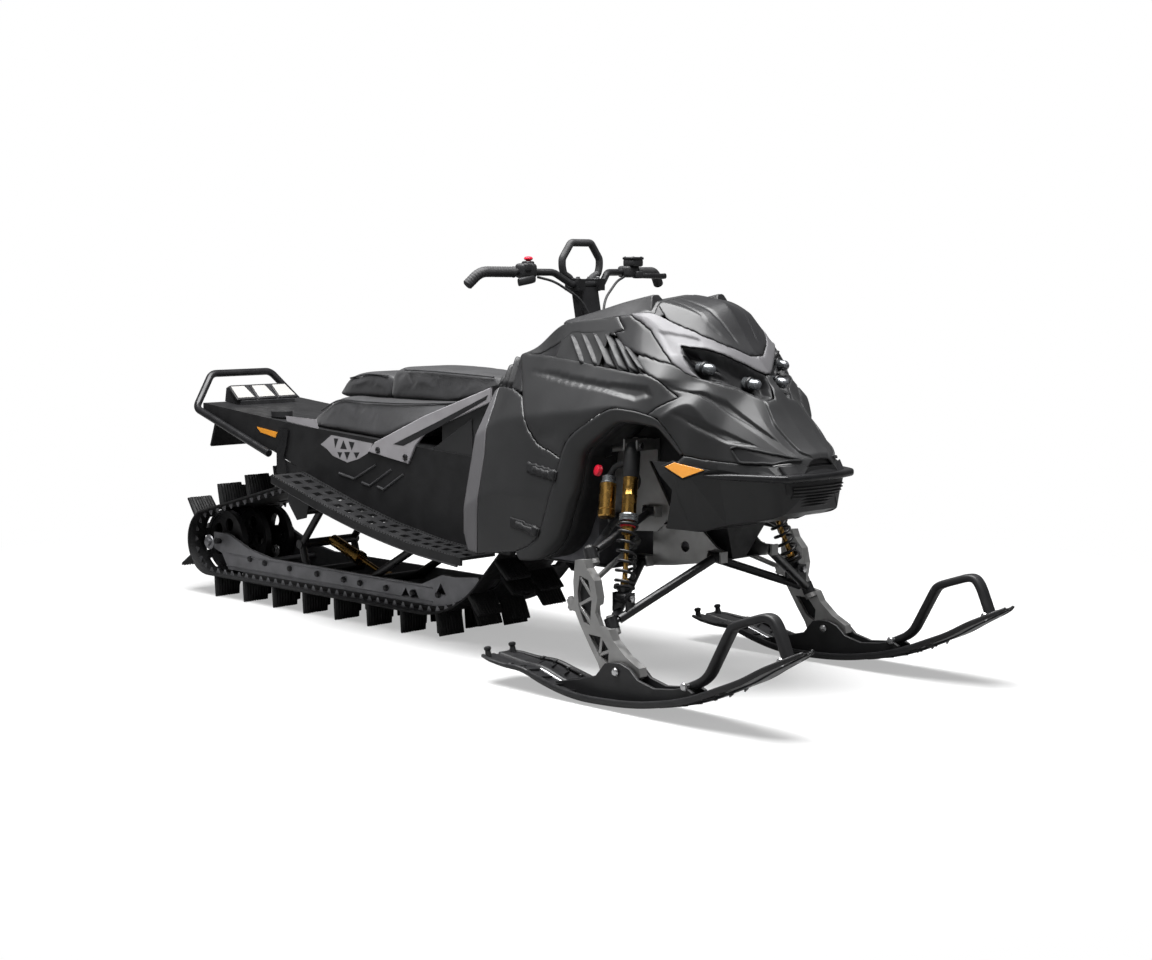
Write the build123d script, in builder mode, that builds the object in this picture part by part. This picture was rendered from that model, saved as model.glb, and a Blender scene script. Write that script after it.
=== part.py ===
from build123d import *
from math import acos, atan2, cos, degrees, hypot, pi, radians, sin, tan
import os

# Snowmobile for deep snow, in millimetres.
# X points forwards, Y to the rider's left and Z up, with the origin on the snow
# under the middle of the machine.

os.makedirs("parts", exist_ok=True)

# Fits between pieces
running_clearance = 0.3
seat_clearance = 0.5
seam_gap = 0.8

# Track
track_width = 406
track_rows = 44
lug_height = 76
lug_thickness = 15
lug_tip = 8
lug_length = 112
belt_thickness = 8
belt_low = lug_height

# Skid frame and the circles that the belt runs round
rear_axle_x = -1450
rear_wheel_radius = 116
rear_wheel_width = 24
upper_wheel_x = -885
upper_wheel_z = 408
upper_wheel_radius = 59
upper_wheel_width = 22
sprocket_x = 74
sprocket_z = 408
sprocket_radius = 116
sprocket_tooth = 12
approach_x = -250
approach_radius = 405
axle_radius = 10
tyre_depth = 14
wheel_hub = 24
rail_spacing = 280
rail_thickness = 14
rail_height = 66
rail_nose_turn = 42
slide_height = 14
skid_arm_radius = 13
rear_wheel_y = rail_spacing / 2 - 34
axle_nut_stand = 14
upper_wheel_y = rail_spacing * 0.3
sprocket_y = rail_spacing * 0.32
rear_arm_top = (upper_wheel_x + 31, upper_wheel_z - 36)
rear_arm_knee = (upper_wheel_x - 89, upper_wheel_z - 176)
rear_arm_foot_x = upper_wheel_x - 59
front_arm_top = (-135, 398)
front_arm_foot_x = approach_x - 360

# Tunnel and running boards
tunnel_half_width = track_width / 2 + 22
tunnel_wall = 4
deck_rear_x = -1420
deck_rear_z = 726
deck_knee_x = -818
deck_knee_z = 672
deck_front_x = 230
deck_front_z = 612
board_rear_x = -811
board_rear_z = 512
board_front_x = 160
board_front_z = 324
board_width = 148
board_thickness = 10
board_lip = 26
board_slot_pitch = 52
flap_width = 300
lamp_width = 280
strut_wall = 8

# Rear bumper
bumper_tube = 27
bumper_top_x = deck_rear_x - 73
bumper_top_z = 828
bumper_top_half = 135
bumper_low_x = deck_rear_x - 26
bumper_low_z = 706
bumper_front_x = -1000
bumper_front_z = 566
bumper_bend = 45

# Cargo anchors
anchor_x = -1010
anchor_y = 172
anchor_radius = 38
anchor_bore = 12
anchor_height = 20
anchor_lift = 4

# Seat and tank
seat_top = 776
cushion_rear = -482
tank_front_x = 140
tank_top_z = 850
tank_half_width = tunnel_half_width - 10

# Bodywork
shell_wall = 5
bumper_lip_z = 636
engine_rear_x = 300
engine_length = 300
engine_width = 420
engine_top_z = 700

# Bars
post_x = 352
post_base_z = 1062
post_lean = 11
post_radius = 14
post_depth = 180
post_opening = 45
riser_height = 90
bar_radius = 11
grip_radius = 17
strap_x = 318
strap_depth = 24

# Front suspension; inner pivots lie along X, the kingpin from foot to top
pivot_radius = 6
pivot_eye = 15
pivot_length = 44
ear_wall = 6
ear_reach = 11
lower_plate_y = 92
upper_plate_y = 160
frame_cross_x = 650
frame_cross_z = 686
plate_wall = 10
lower_pivot_front = (984, 385)
lower_pivot_rear = (695, 346)
upper_pivot_front = (790, 508)
upper_pivot_rear = (655, 478)
arm_tube = 13
kingpin_top = Vector(785, -434, 405)
kingpin_foot = Vector(880, -446, 217)
ball_stud = 8.7
ball_housing = 19
tie_stud = Vector(744, -470, 268)
shock_top = Vector(780, -255, 706)
shock_foot = Vector(874, -392, 285)

# Skis
ski_stance = 943
half_stance = ski_stance / 2
ski_tip_x = 1600
ski_bolt_x = 950
ski_bolt_z = 98
ski_bolt_radius = 8
ski_width = 172
ski_thickness = 12
saddle_inside = 40
saddle_wall = 12

# The measured places above start from a mark near the tank; the middle of the machine is a little ahead of it
rear_extent = rear_axle_x - rear_wheel_radius - belt_thickness - lug_height
to_middle = -(rear_extent + ski_tip_x) / 2


def circle_list(inset):
    """Centres and radii that the belt wraps, each radius less the inset, going forwards over the top."""
    outer = belt_thickness
    return [
        (rear_axle_x, belt_low + rear_wheel_radius + outer, rear_wheel_radius + outer - inset),
        (upper_wheel_x, upper_wheel_z, upper_wheel_radius + outer - inset),
        (sprocket_x, sprocket_z, sprocket_radius + outer - inset),
        (approach_x, belt_low + approach_radius + outer, approach_radius + outer - inset),
    ]


def tangent_normal(first, second):
    """Outward normal angle of the straight run from one circle to the next."""
    run = (second[0] - first[0], second[1] - first[1])
    length = hypot(*run)
    return atan2(run[1], run[0]) + acos((first[2] - second[2]) / length)


def on_circle(circle, angle):
    return (circle[0] + circle[2] * cos(angle), circle[1] + circle[2] * sin(angle))


def loop_spans(inset):
    """Straight runs and arcs of the belt, each as its kind, its ends and its length."""
    circles = circle_list(inset)
    count = len(circles)
    normals = [tangent_normal(circles[i], circles[(i + 1) % count]) for i in range(count)]
    spans = []
    for i, circle in enumerate(circles):
        arrive = normals[i - 1]
        leave = normals[i]
        turn = (arrive - leave) % (2 * pi)
        spans.append(("arc", circle, arrive, turn, circle[2] * turn))
        nxt = circles[(i + 1) % count]
        start = on_circle(circle, leave)
        end = on_circle(nxt, leave)
        spans.append(("run", start, end, leave, hypot(end[0] - start[0], end[1] - start[1])))
    return spans


def loop_place(spans, distance):
    """Point on the belt and its outward angle, a distance along the loop."""
    total = sum(span[4] for span in spans)
    left = distance % total
    for span in spans:
        if left > span[4]:
            left -= span[4]
            continue
        if span[0] == "arc":
            angle = span[2] - left / span[1][2]
            return on_circle(span[1], angle), angle
        part = left / span[4]
        start, end = span[1], span[2]
        return (start[0] + part * (end[0] - start[0]), start[1] + part * (end[1] - start[1])), span[3]
    return None


def loop_edges(spans):
    """The loop as edges in the upright XZ plane, for use inside a BuildLine block."""
    for span in spans:
        if span[0] == "arc":
            circle, arrive, turn = span[1], span[2], span[3]
            ThreePointArc(on_circle(circle, arrive), on_circle(circle, arrive - turn / 2),
                          on_circle(circle, arrive - turn))
        else:
            Line(span[1], span[2])


def mirrored(part):
    """The same piece on the rider's other side."""
    return part.mirror(Plane.XZ)


def bar(start, end, radius, mode=Mode.ADD):
    """A round bar between two points, added to the sub-part being built."""
    line = Vector(*end) - Vector(*start)
    with BuildSketch(Plane(origin=start, z_dir=line)) as section:
        Circle(radius)
    extrude(section.sketch, amount=line.length, mode=mode)


def lerp(a, b, t):
    return tuple(a[i] + (b[i] - a[i]) * t for i in range(len(a)))


written = []


def keep(part, node):
    """Write one sub-part, moved so that the origin lies under the middle of the machine."""
    placed = part.moved(Location((to_middle, 0, 0)))
    placed.label = node
    export_step(placed, f"parts/{node}.step")
    written.append(node)


# Track: one closed belt with its paddles, a row of two outer paddles and then a row of inner ones
outer_loop = loop_spans(0)
inner_loop = loop_spans(belt_thickness)
loop_length = sum(span[4] for span in outer_loop)
row_pitch = loop_length / track_rows
print("belt length", round(loop_length - pi * belt_thickness), "row pitch", round(row_pitch, 1))

with BuildSketch() as lug_foot:
    Rectangle(lug_thickness, lug_length)
with BuildSketch(Plane.XY.offset(lug_height + belt_thickness / 2)) as lug_end:
    Rectangle(lug_tip, lug_length - 8)
with BuildPart() as lug:
    add(lug_foot.sketch)
    add(lug_end.sketch)
    loft(sections=[lug_foot.sketch.face(), lug_end.sketch.face()], ruled=True)

outer_lug_y = track_width / 2 - lug_length / 2
inner_lug_y = lug_length / 2 + 8
lug_places = []
first_arc = outer_loop[0]
lug_start = (first_arc[2] - pi) * first_arc[1][2]
for row in range(track_rows):
    point, angle = loop_place(outer_loop, lug_start + row * row_pitch)
    lug_y = outer_lug_y if row % 2 == 0 else inner_lug_y
    inset = belt_thickness / 2
    centre = (point[0] - inset * cos(angle), point[1] - inset * sin(angle))
    for side in (-1, 1):
        place = Location((centre[0], side * lug_y, centre[1]), (0, 90 - degrees(angle), 0))
        lug_places.append(place)

with BuildPart() as track:
    with BuildSketch(Plane.XZ.offset(-track_width / 2)):
        with BuildLine():
            loop_edges(outer_loop)
        make_face()
        with BuildLine():
            loop_edges(inner_loop)
        make_face(mode=Mode.SUBTRACT)
    extrude(amount=track_width)
    add([lug.part.moved(place) for place in lug_places])
keep(track.part, "track")

# Skid frame: two rails on slides, carried by the arms that swing from the tunnel
wheel_axle_z = belt_low + belt_thickness + rear_wheel_radius
slide_low = belt_low + belt_thickness + seat_clearance
rail_low = slide_low + slide_height
rail_top = rail_low + rail_height
rail_y = rail_spacing / 2
rail_inner_face = rail_y - rail_thickness / 2
rail_outer_face = rail_y + rail_thickness / 2
inner_radius = approach_radius - slide_height - seat_clearance
arc_centre = (approach_x, belt_low + belt_thickness + approach_radius)
tunnel_inside = tunnel_half_width - tunnel_wall
cross_shaft_x = (rear_axle_x + 220, approach_x + 90)
cross_shaft_z = rail_low + rail_height * 0.62


def approach_point(radius, turn):
    """Point on the upturned front of the rails, at a turn in degrees past the flat run."""
    return (arc_centre[0] + radius * sin(radians(turn)), arc_centre[1] - radius * cos(radians(turn)))


def across(x, z, half_length, radius, mode=Mode.ADD):
    """A round shaft lying across the machine, added to the sub-part being built."""
    with Locations(Location((x, 0, z), (90, 0, 0))):
        Cylinder(radius, 2 * half_length, mode=mode)


rear_arm_foot = (rear_arm_foot_x, cross_shaft_z - 8)
front_arm_foot = (front_arm_foot_x, cross_shaft_z - 4)

with BuildPart() as skid_rails:
    with BuildSketch(Plane.XZ.offset(rail_inner_face)):
        with BuildLine():
            rail_tail = (rear_axle_x + 60, rail_low)
            rail_knee = (approach_x, rail_low)
            rail_nose = approach_point(inner_radius, rail_nose_turn)
            Line(rail_tail, rail_knee)
            ThreePointArc(rail_knee, approach_point(inner_radius, rail_nose_turn / 2), rail_nose)
            Polyline(rail_nose, approach_point(inner_radius - rail_height * 0.4, rail_nose_turn),
                     (approach_x + 130, rail_top + 42), (approach_x + 70, rail_top + 44),
                     (approach_x - 40, rail_top), (rear_axle_x + 330, rail_top),
                     (rear_axle_x + 190, rail_top + 22), (rear_axle_x + 60, wheel_axle_z + 32),
                     (rear_axle_x - 30, wheel_axle_z + 32), (rear_axle_x - 30, wheel_axle_z - 30),
                     (rear_axle_x + 20, wheel_axle_z - 44), rail_tail)
        make_face()
        with Locations((rear_axle_x - 4, wheel_axle_z)):
            SlotOverall(46, 2 * axle_radius + 2 * running_clearance, mode=Mode.SUBTRACT)
        with Locations((approach_x - 70, rail_low + 32), (approach_x - 118, rail_low + 32)):
            Triangle(a=44, b=38, c=38, align=(Align.CENTER, Align.CENTER), mode=Mode.SUBTRACT)
        with Locations((approach_x + 62, rail_low + 62)):
            Triangle(a=52, b=46, c=46, align=(Align.CENTER, Align.CENTER), mode=Mode.SUBTRACT)
    extrude(amount=rail_thickness)
    mirror(about=Plane.XZ)
    for x in cross_shaft_x:
        across(x, cross_shaft_z, rail_y, 11)
keep(skid_rails.part, "skid_rails")

with BuildPart() as skid_slides:
    slide_tail = rear_axle_x + 160
    with BuildSketch(Plane.XZ.offset(rail_y - rail_thickness)):
        with BuildLine():
            Line((slide_tail, rail_low), (approach_x, rail_low))
            ThreePointArc((approach_x, rail_low), approach_point(inner_radius, rail_nose_turn / 2),
                          approach_point(inner_radius, rail_nose_turn))
            outer_radius = inner_radius + slide_height
            Line(approach_point(inner_radius, rail_nose_turn), approach_point(outer_radius, rail_nose_turn))
            ThreePointArc(approach_point(outer_radius, rail_nose_turn),
                          approach_point(outer_radius, rail_nose_turn / 2), approach_point(outer_radius, 0))
            Polyline(approach_point(outer_radius, 0), (slide_tail, slide_low), (slide_tail, rail_low))
        make_face()
    extrude(amount=2 * rail_thickness)
    mirror(about=Plane.XZ)
keep(skid_slides.part, "skid_slides")


def wheel(x, y, z, radius, width, bore):
    """A guide wheel with its tyre, pierced web and hub, added at a place on its axle."""
    with BuildSketch(Plane.XZ.offset(-y)) as web:
        with Locations((x, z)):
            Circle(radius - tyre_depth + 1)
            with PolarLocations((radius - tyre_depth + wheel_hub) / 2, 5):
                Circle((radius - tyre_depth - wheel_hub) * 0.32, mode=Mode.SUBTRACT)
    extrude(web.sketch, amount=width * 0.2, both=True)
    with BuildSketch(Plane.XZ.offset(-y)) as rim:
        with Locations((x, z)):
            Circle(radius)
            Circle(radius - tyre_depth, mode=Mode.SUBTRACT)
            Circle(wheel_hub)
    extrude(rim.sketch, amount=width / 2, both=True)
    with BuildSketch(Plane.XZ.offset(-y)) as axle_hole:
        with Locations((x, z)):
            Circle(bore)
    extrude(axle_hole.sketch, amount=width, both=True, mode=Mode.SUBTRACT)


with BuildPart() as rear_wheels:
    for y in (-rear_wheel_y, 0, rear_wheel_y):
        wheel(rear_axle_x, y, wheel_axle_z, rear_wheel_radius - seat_clearance, rear_wheel_width, axle_radius - 1)
    across(rear_axle_x, wheel_axle_z, rail_outer_face + axle_nut_stand, axle_radius)
keep(rear_wheels.part, "rear_wheels")

with BuildPart() as upper_wheels:
    for y in (-upper_wheel_y, upper_wheel_y):
        wheel(upper_wheel_x, y, upper_wheel_z, upper_wheel_radius - seat_clearance, upper_wheel_width,
              axle_radius - 1)
    across(upper_wheel_x, upper_wheel_z, tunnel_inside - seat_clearance / 2, axle_radius)
keep(upper_wheels.part, "upper_wheels")

# Each sprocket's teeth stand in the belt's windows, short of its inner face
with BuildPart() as drive_sprockets:
    for y in (-sprocket_y, sprocket_y):
        with BuildSketch(Plane.XZ.offset(-y)):
            with Locations((sprocket_x, sprocket_z)):
                Circle(sprocket_radius - sprocket_tooth)
                with PolarLocations(sprocket_radius - sprocket_tooth - 3 * seat_clearance, 8):
                    Rectangle(2 * sprocket_tooth, 26)
        extrude(amount=14, both=True)
    across(sprocket_x, sprocket_z, tunnel_inside - seat_clearance / 2, 14)
keep(drive_sprockets.part, "drive_sprockets")

arm_y = rail_inner_face - skid_arm_radius - 2
with BuildPart() as skid_arms:
    cross = rail_inner_face - seat_clearance
    for side in (-1, 1):
        y = side * arm_y
        knee = (rear_arm_knee[0], y, rear_arm_knee[1])
        bar((rear_arm_top[0], y, rear_arm_top[1]), knee, skid_arm_radius)
        bar(knee, (rear_arm_foot[0], y, rear_arm_foot[1]), skid_arm_radius)
        bar((front_arm_top[0], y, front_arm_top[1]), (front_arm_foot[0], y, front_arm_foot[1]),
            skid_arm_radius + 1)
        bar((rear_arm_top[0], side * (arm_y - skid_arm_radius - 2), rear_arm_top[1]),
            (rear_arm_top[0], side * (tunnel_inside - seat_clearance / 2), rear_arm_top[1]), skid_arm_radius + 4)
    across(rear_arm_foot[0], rear_arm_foot[1], cross, skid_arm_radius + 4)
    across(front_arm_foot[0], front_arm_foot[1], cross, skid_arm_radius + 4)
    across(rear_arm_knee[0], rear_arm_knee[1], cross, skid_arm_radius + 3)
    across(front_arm_top[0], front_arm_top[1], tunnel_inside - seat_clearance / 2, skid_arm_radius + 5)
keep(skid_arms.part, "skid_arms")


def damper(top, foot, body, collar, eye):
    """A damper between two eyes: a thick body above, a collar and a thin shaft below."""
    split = lerp(top, foot, 0.5)
    bar(top, split, body)
    bar(lerp(top, foot, 0.47), lerp(top, foot, 0.53), collar)
    bar(split, foot, body * 0.42)
    for end in (top, foot):
        with Locations(Location(end, (90, 0, 0))):
            Cylinder(eye, 2 * body * 0.8)


rear_damper_top = (rear_arm_knee[0] + skid_arm_radius + 3 + 15.2, 0, rear_arm_knee[1] + 6)
with BuildPart() as skid_shocks:
    damper(rear_damper_top, (front_arm_foot[0] - skid_arm_radius - 4 - 15.2, 0, front_arm_foot[1] + 2), 21, 26, 15)
keep(skid_shocks.part, "skid_shocks")

# Tunnel: a folded sheet channel over the track, with a deck on top
side_low = [(deck_rear_x, deck_rear_z - 42), (-1201, 624), (-988, 572), (board_rear_x, board_rear_z),
            (-534, 434), (-301, 380), (-78, 344), (board_front_x, board_front_z),
            (deck_front_x, board_front_z)]


def deck_height(x):
    """Height of the deck's top face at a place along the machine."""
    if x < deck_knee_x:
        slope = (deck_rear_z - deck_knee_z) / (deck_rear_x - deck_knee_x)
    else:
        slope = (deck_front_z - deck_knee_z) / (deck_front_x - deck_knee_x)
    return deck_knee_z + slope * (x - deck_knee_x)


hanger = [(rear_arm_top[0] - 76, rear_arm_top[1] + 176), (rear_arm_top[0] + 92, rear_arm_top[1] + 128),
          (rear_arm_top[0] + 44, rear_arm_top[1] - 22), (rear_arm_top[0] - 8, rear_arm_top[1] - 34),
          (rear_arm_top[0] - 54, rear_arm_top[1] + 20)]
with BuildPart() as tunnel:
    with BuildSketch(Plane.XZ.offset(-tunnel_half_width)):
        with BuildLine():
            Polyline((deck_rear_x, deck_rear_z), (deck_knee_x, deck_knee_z),
                     (deck_front_x, deck_front_z), *reversed(side_low), (deck_rear_x, deck_rear_z))
        make_face()
    extrude(amount=2 * tunnel_half_width)
    with BuildSketch(Plane.XZ.offset(-tunnel_inside), mode=Mode.PRIVATE) as hollow:
        with BuildLine():
            Polyline((deck_rear_x - 10, deck_rear_z - tunnel_wall + 1), (deck_knee_x, deck_knee_z - tunnel_wall),
                     (deck_front_x + 10, deck_front_z - tunnel_wall - 1), (deck_front_x + 10, 200),
                     (deck_rear_x - 10, 200), (deck_rear_x - 10, deck_rear_z - tunnel_wall + 1))
        make_face()
    extrude(hollow.sketch, amount=2 * tunnel_inside, mode=Mode.SUBTRACT)
    frame_beam = [(deck_front_x - 10, deck_front_z - 2), (frame_cross_x - 10, frame_cross_z + 20),
                  (frame_cross_x + 16, frame_cross_z + 20), (frame_cross_x + 16, frame_cross_z - 20),
                  (deck_front_x - 10, deck_front_z - 90)]
    for face_y in (tunnel_half_width, -tunnel_inside):
        with BuildSketch(Plane.XZ.offset(-face_y)):
            Polygon(*hanger, align=None)
            Polygon(*frame_beam, align=None)
        extrude(amount=tunnel_wall)
keep(tunnel.part, "tunnel")

# Running boards: a slotted strip each side with a folded outer lip, along the tunnel's lower edge
board_line = [point for point in side_low if board_rear_x <= point[0] <= board_front_x]
with BuildPart() as running_board_right:
    with BuildSketch(Plane.XZ.offset(tunnel_half_width)):
        with BuildLine():
            under = [(x, z - board_thickness) for x, z in reversed(board_line)]
            Polyline(*board_line, *under, board_line[0])
        make_face()
    extrude(amount=board_width)
    with BuildSketch(Plane.XZ.offset(tunnel_half_width + board_width - board_thickness)):
        with BuildLine():
            under = [(x, z - board_lip) for x, z in reversed(board_line)]
            Polyline(*board_line, *under, board_line[0])
        make_face()
    extrude(amount=board_thickness)
    for first, second in zip(board_line[:-1], board_line[1:]):
        span = second[0] - first[0]
        count = max(1, round(span / board_slot_pitch))
        for i in range(count):
            x = first[0] + span * (i + 0.5) / count
            with BuildSketch(Plane.XY.offset(board_front_z - board_lip)):
                with Locations((x, -tunnel_half_width - board_width * 0.3),
                               (x, -tunnel_half_width - board_width * 0.66)):
                    Rectangle(board_slot_pitch * 0.52, board_width * 0.2)
            extrude(amount=board_rear_z, mode=Mode.SUBTRACT)
keep(running_board_right.part, "running_board_right")
keep(mirrored(running_board_right.part), "running_board_left")

# Rear bumper: one bent tube, up over the deck and forwards along the tunnel
bumper_side = tunnel_half_width + bumper_tube / 2 + seat_clearance
with BuildPart() as rear_bumper:
    with BuildLine() as bumper_path:
        FilletPolyline((bumper_front_x, -bumper_side, bumper_front_z),
                       (bumper_low_x, -bumper_side, bumper_low_z),
                       (bumper_top_x, -bumper_top_half, bumper_top_z),
                       (bumper_top_x, bumper_top_half, bumper_top_z),
                       (bumper_low_x, bumper_side, bumper_low_z),
                       (bumper_front_x, bumper_side, bumper_front_z),
                       radius=bumper_bend)
    with BuildSketch(Plane(origin=bumper_path.line @ 0, z_dir=bumper_path.line % 0)):
        Circle(bumper_tube / 2)
    sweep(transition=Transition.ROUND)
keep(rear_bumper.part, "rear_bumper")

with BuildPart() as snow_flap:
    with BuildSketch(Plane.XZ.offset(-flap_width / 2)):
        tab_front = deck_rear_x + 30
        tab_rear = deck_rear_x - 8
        under = tunnel_wall + seat_clearance
        Polygon((tab_front, deck_height(tab_front) - under), (tab_rear, deck_height(tab_rear) - under),
                (deck_rear_x - 70, deck_rear_z - 166), (deck_rear_x - 62, deck_rear_z - 170),
                (deck_rear_x + 2, deck_rear_z - 16), (tab_front, deck_height(tab_front) - 12), align=None)
    extrude(amount=flap_width)
keep(snow_flap.part, "snow_flap")

with BuildPart() as tail_lamp:
    lamp_rear = deck_rear_x - 6
    lamp_front = deck_rear_x + 96
    with BuildSketch(Plane.XZ.offset(-lamp_width / 2)):
        Polygon((lamp_rear, deck_height(lamp_rear) + seat_clearance), (lamp_rear, deck_height(lamp_rear) + 50),
                (lamp_rear + 26, deck_height(lamp_rear) + 60), (lamp_front, deck_height(lamp_front) + 14),
                (lamp_front, deck_height(lamp_front) + seat_clearance), align=None)
    extrude(amount=lamp_width)
    for side in (-1, 1):
        with BuildSketch(Plane.YZ.offset(lamp_rear - 2)):
            Polygon((side * lamp_width / 2, 600), (side * (lamp_width / 2 - 26), deck_rear_z + 70),
                    (side * (lamp_width / 2 + 9), deck_rear_z + 70), align=None)
        extrude(amount=lamp_front - lamp_rear + 10, mode=Mode.SUBTRACT)
keep(tail_lamp.part, "tail_lamp")

deck_tilt = degrees(atan2(deck_rear_z - deck_knee_z, deck_knee_x - deck_rear_x))
with BuildPart() as cargo_anchors:
    for y in (-anchor_y, anchor_y):
        with Locations((anchor_x, y, deck_height(anchor_x) + anchor_lift)):
            Cylinder(anchor_radius, anchor_height, align=(Align.CENTER, Align.CENTER, Align.MIN))
            Cylinder(anchor_radius * 0.8, anchor_lift, align=(Align.CENTER, Align.CENTER, Align.MAX))
            Cylinder(anchor_bore, anchor_height, align=(Align.CENTER, Align.CENTER, Align.MIN),
                     mode=Mode.SUBTRACT)
    with BuildSketch(Plane.XZ.offset(-anchor_y - anchor_radius)):
        Polygon((anchor_x - 90, deck_height(anchor_x - 90) + seat_clearance / 2),
                (anchor_x + 90, deck_height(anchor_x + 90) + seat_clearance / 2),
                (anchor_x + 90, 0), (anchor_x - 90, 0), align=None)
    extrude(amount=2 * (anchor_y + anchor_radius), mode=Mode.SUBTRACT)
keep(cargo_anchors.part, "cargo_anchors")

# Seat: a wide low cushion, a hard hump behind it and the narrow raised cushion
seat_gap = seat_clearance / 2
with BuildPart() as seat_base:
    with BuildSketch(Plane.XY.offset(deck_front_z - 20)):
        Polygon((-850, 0), (-812, 150), (-735, 205), (-420, 215), (-100, 200), (-100, -200), (-420, -215),
                (-735, -205), (-812, -150), align=None)
    extrude(amount=260)
    with BuildSketch(Plane.XZ.offset(-300)):
        Polygon((-900, deck_height(-900) + seat_gap), (deck_knee_x, deck_knee_z + seat_gap),
                (-80, deck_height(-80) + seat_gap), (-80, seat_top - 14), (-640, seat_top), (-900, seat_top - 88),
                align=None)
    extrude(amount=600, mode=Mode.INTERSECT)
    for side in (-1, 1):
        with BuildSketch(Plane.YZ.offset(-900)):
            Polygon((side * 232, seat_top - 90), (side * 168, seat_top + 2), (side * 260, seat_top + 2), align=None)
        extrude(amount=860, mode=Mode.SUBTRACT)
keep(seat_base.part, "seat_base")

with BuildPart() as seat_hump:
    with BuildSketch(Plane.XZ.offset(-120)):
        Polygon((-790, seat_top - 46), (-700, 846), (-560, 862), (cushion_rear - seat_gap, 858),
                (cushion_rear - seat_gap, seat_top + seat_gap), (-640, seat_top + seat_gap), align=None)
    extrude(amount=240)
    for side in (-1, 1):
        with BuildSketch(Plane.YZ.offset(-800)):
            Polygon((side * 122, seat_top), (side * 84, 870), (side * 150, 870), align=None)
        extrude(amount=400, mode=Mode.SUBTRACT)
    with BuildSketch(Plane.XZ.offset(-130)):
        Polygon((-900, seat_top - 88 + seat_gap), (-640, seat_top + seat_gap), (-640, 0), (-900, 0), align=None)
    extrude(amount=260, mode=Mode.SUBTRACT)
keep(seat_hump.part, "seat_hump")

with BuildPart() as seat_cushion:
    with BuildSketch(Plane.XY.offset(seat_top - 20)):
        Polygon((cushion_rear, -108), (-380, -128), (0, -118), (64, -96), (64, 96), (0, 118), (-380, 128),
                (cushion_rear, 108), align=None)
    extrude(amount=160)
    with BuildSketch(Plane.XZ.offset(-150)):
        Polygon((cushion_rear, seat_top + seat_gap), (cushion_rear, 868), (-440, 886), (-200, 884), (44, 866),
                (64, 848), (tank_front_x - 50, 828), (-88, seat_top + 6), (-100, seat_top - 13), align=None)
    extrude(amount=300, mode=Mode.INTERSECT)
    with BuildSketch(Plane.XZ.offset(-150)):
        Polygon((-640, seat_top + seat_gap), (-80, seat_top - 14 + seat_gap), (-80, 0), (-640, 0), align=None)
    extrude(amount=300, mode=Mode.SUBTRACT)
keep(seat_cushion.part, "seat_cushion")

with BuildPart() as fuel_tank:
    with BuildSketch(Plane.XZ.offset(-tank_half_width)):
        Polygon((-100 + 1, deck_height(-99) + seat_gap), (-100 + 1, seat_top - 20), (-86, seat_top),
                (tank_front_x - 50, tank_top_z - 30), (tank_front_x, tank_top_z),
                (tank_front_x, deck_height(tank_front_x) + seat_gap), align=None)
    extrude(amount=2 * tank_half_width)
keep(fuel_tank.part, "fuel_tank")

strut_face = tunnel_half_width
strut_foot = [(-458, 607), (-420, 640), (-168, 741), (150, 846), (150, 800), (-160, 690), (-215, 640),
              (-251, 579)]
with BuildPart() as side_strut_right:
    with BuildSketch(Plane.XZ.offset(strut_face)):
        Polygon(*strut_foot, align=None)
        with Locations((-402, 615), (-262, 600)):
            Circle(6, mode=Mode.SUBTRACT)
    extrude(amount=strut_wall)
    chamfer(side_strut_right.faces().sort_by(Axis.Y)[0].outer_wire().edges(), 2)
keep(side_strut_right.part, "side_strut_right")
keep(mirrored(side_strut_right.part), "side_strut_left")

# Bodywork: one thin faceted shell from the tank to the nose, split where its panels meet
# Each station gives the half outline from the top centre out and down to the lower edge
stations = [
    (150, [(0, 872), (110, 868), (165, 858), (215, 835), (300, 700), (350, 480), (350, 325)]),
    (300, [(0, 985), (110, 983), (170, 975), (222, 958), (318, 760), (356, 540), (354, 352)]),
    (456, [(0, 1062), (130, 1060), (198, 1052), (245, 950), (335, 780), (362, 540), (352, 312)]),
    (640, [(0, 1082), (140, 1080), (203, 1072), (270, 934), (340, 800), (358, 560), (345, 288)]),
    (760, [(0, 1138), (150, 1120), (206, 1078), (283, 922), (335, 815), (345, 600), (330, 290)]),
    (900, [(0, 1118), (120, 1085), (205, 1005), (290, 905), (322, 780), (312, 620), (262, 475)]),
    (1000, [(0, 1003), (70, 990), (155, 960), (200, 890), (272, 835), (290, 660), (215, 468)]),
    (1080, [(0, 905), (60, 890), (95, 860), (170, 800), (215, 745), (229, 655), (185, 490)]),
    (1160, [(0, 780), (75, 775), (105, 768), (140, 745), (172, 700), (188, 640), (150, 505)]),
    (1235, [(0, 705), (60, 700), (80, 697), (95, 690), (112, 672), (148, 635), (120, 530)]),
    (1268, [(0, 684), (25, 682), (35, 680), (44, 674), (55, 664), (80, 640), (60, 590)]),
]


def full_outline(half):
    """A station's closed outline from its half, round by the right side and back by the left."""
    return [(-y, z) for y, z in half] + [(y, z) for y, z in reversed(half[1:])]


def inset_outline(outline, wall):
    """The outline moved inwards by the wall, corner by corner."""
    count = len(outline)
    moved = []
    for i in range(count):
        before, here, after = outline[i - 1], outline[i], outline[(i + 1) % count]
        first = (here[0] - before[0], here[1] - before[1])
        second = (after[0] - here[0], after[1] - here[1])
        n1 = (-first[1] / hypot(*first), first[0] / hypot(*first))
        n2 = (-second[1] / hypot(*second), second[0] / hypot(*second))
        share = wall / (1 + n1[0] * n2[0] + n1[1] * n2[1])
        moved.append((here[0] + (n1[0] + n2[0]) * share, here[1] + (n1[1] + n2[1]) * share))
    return moved


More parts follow.
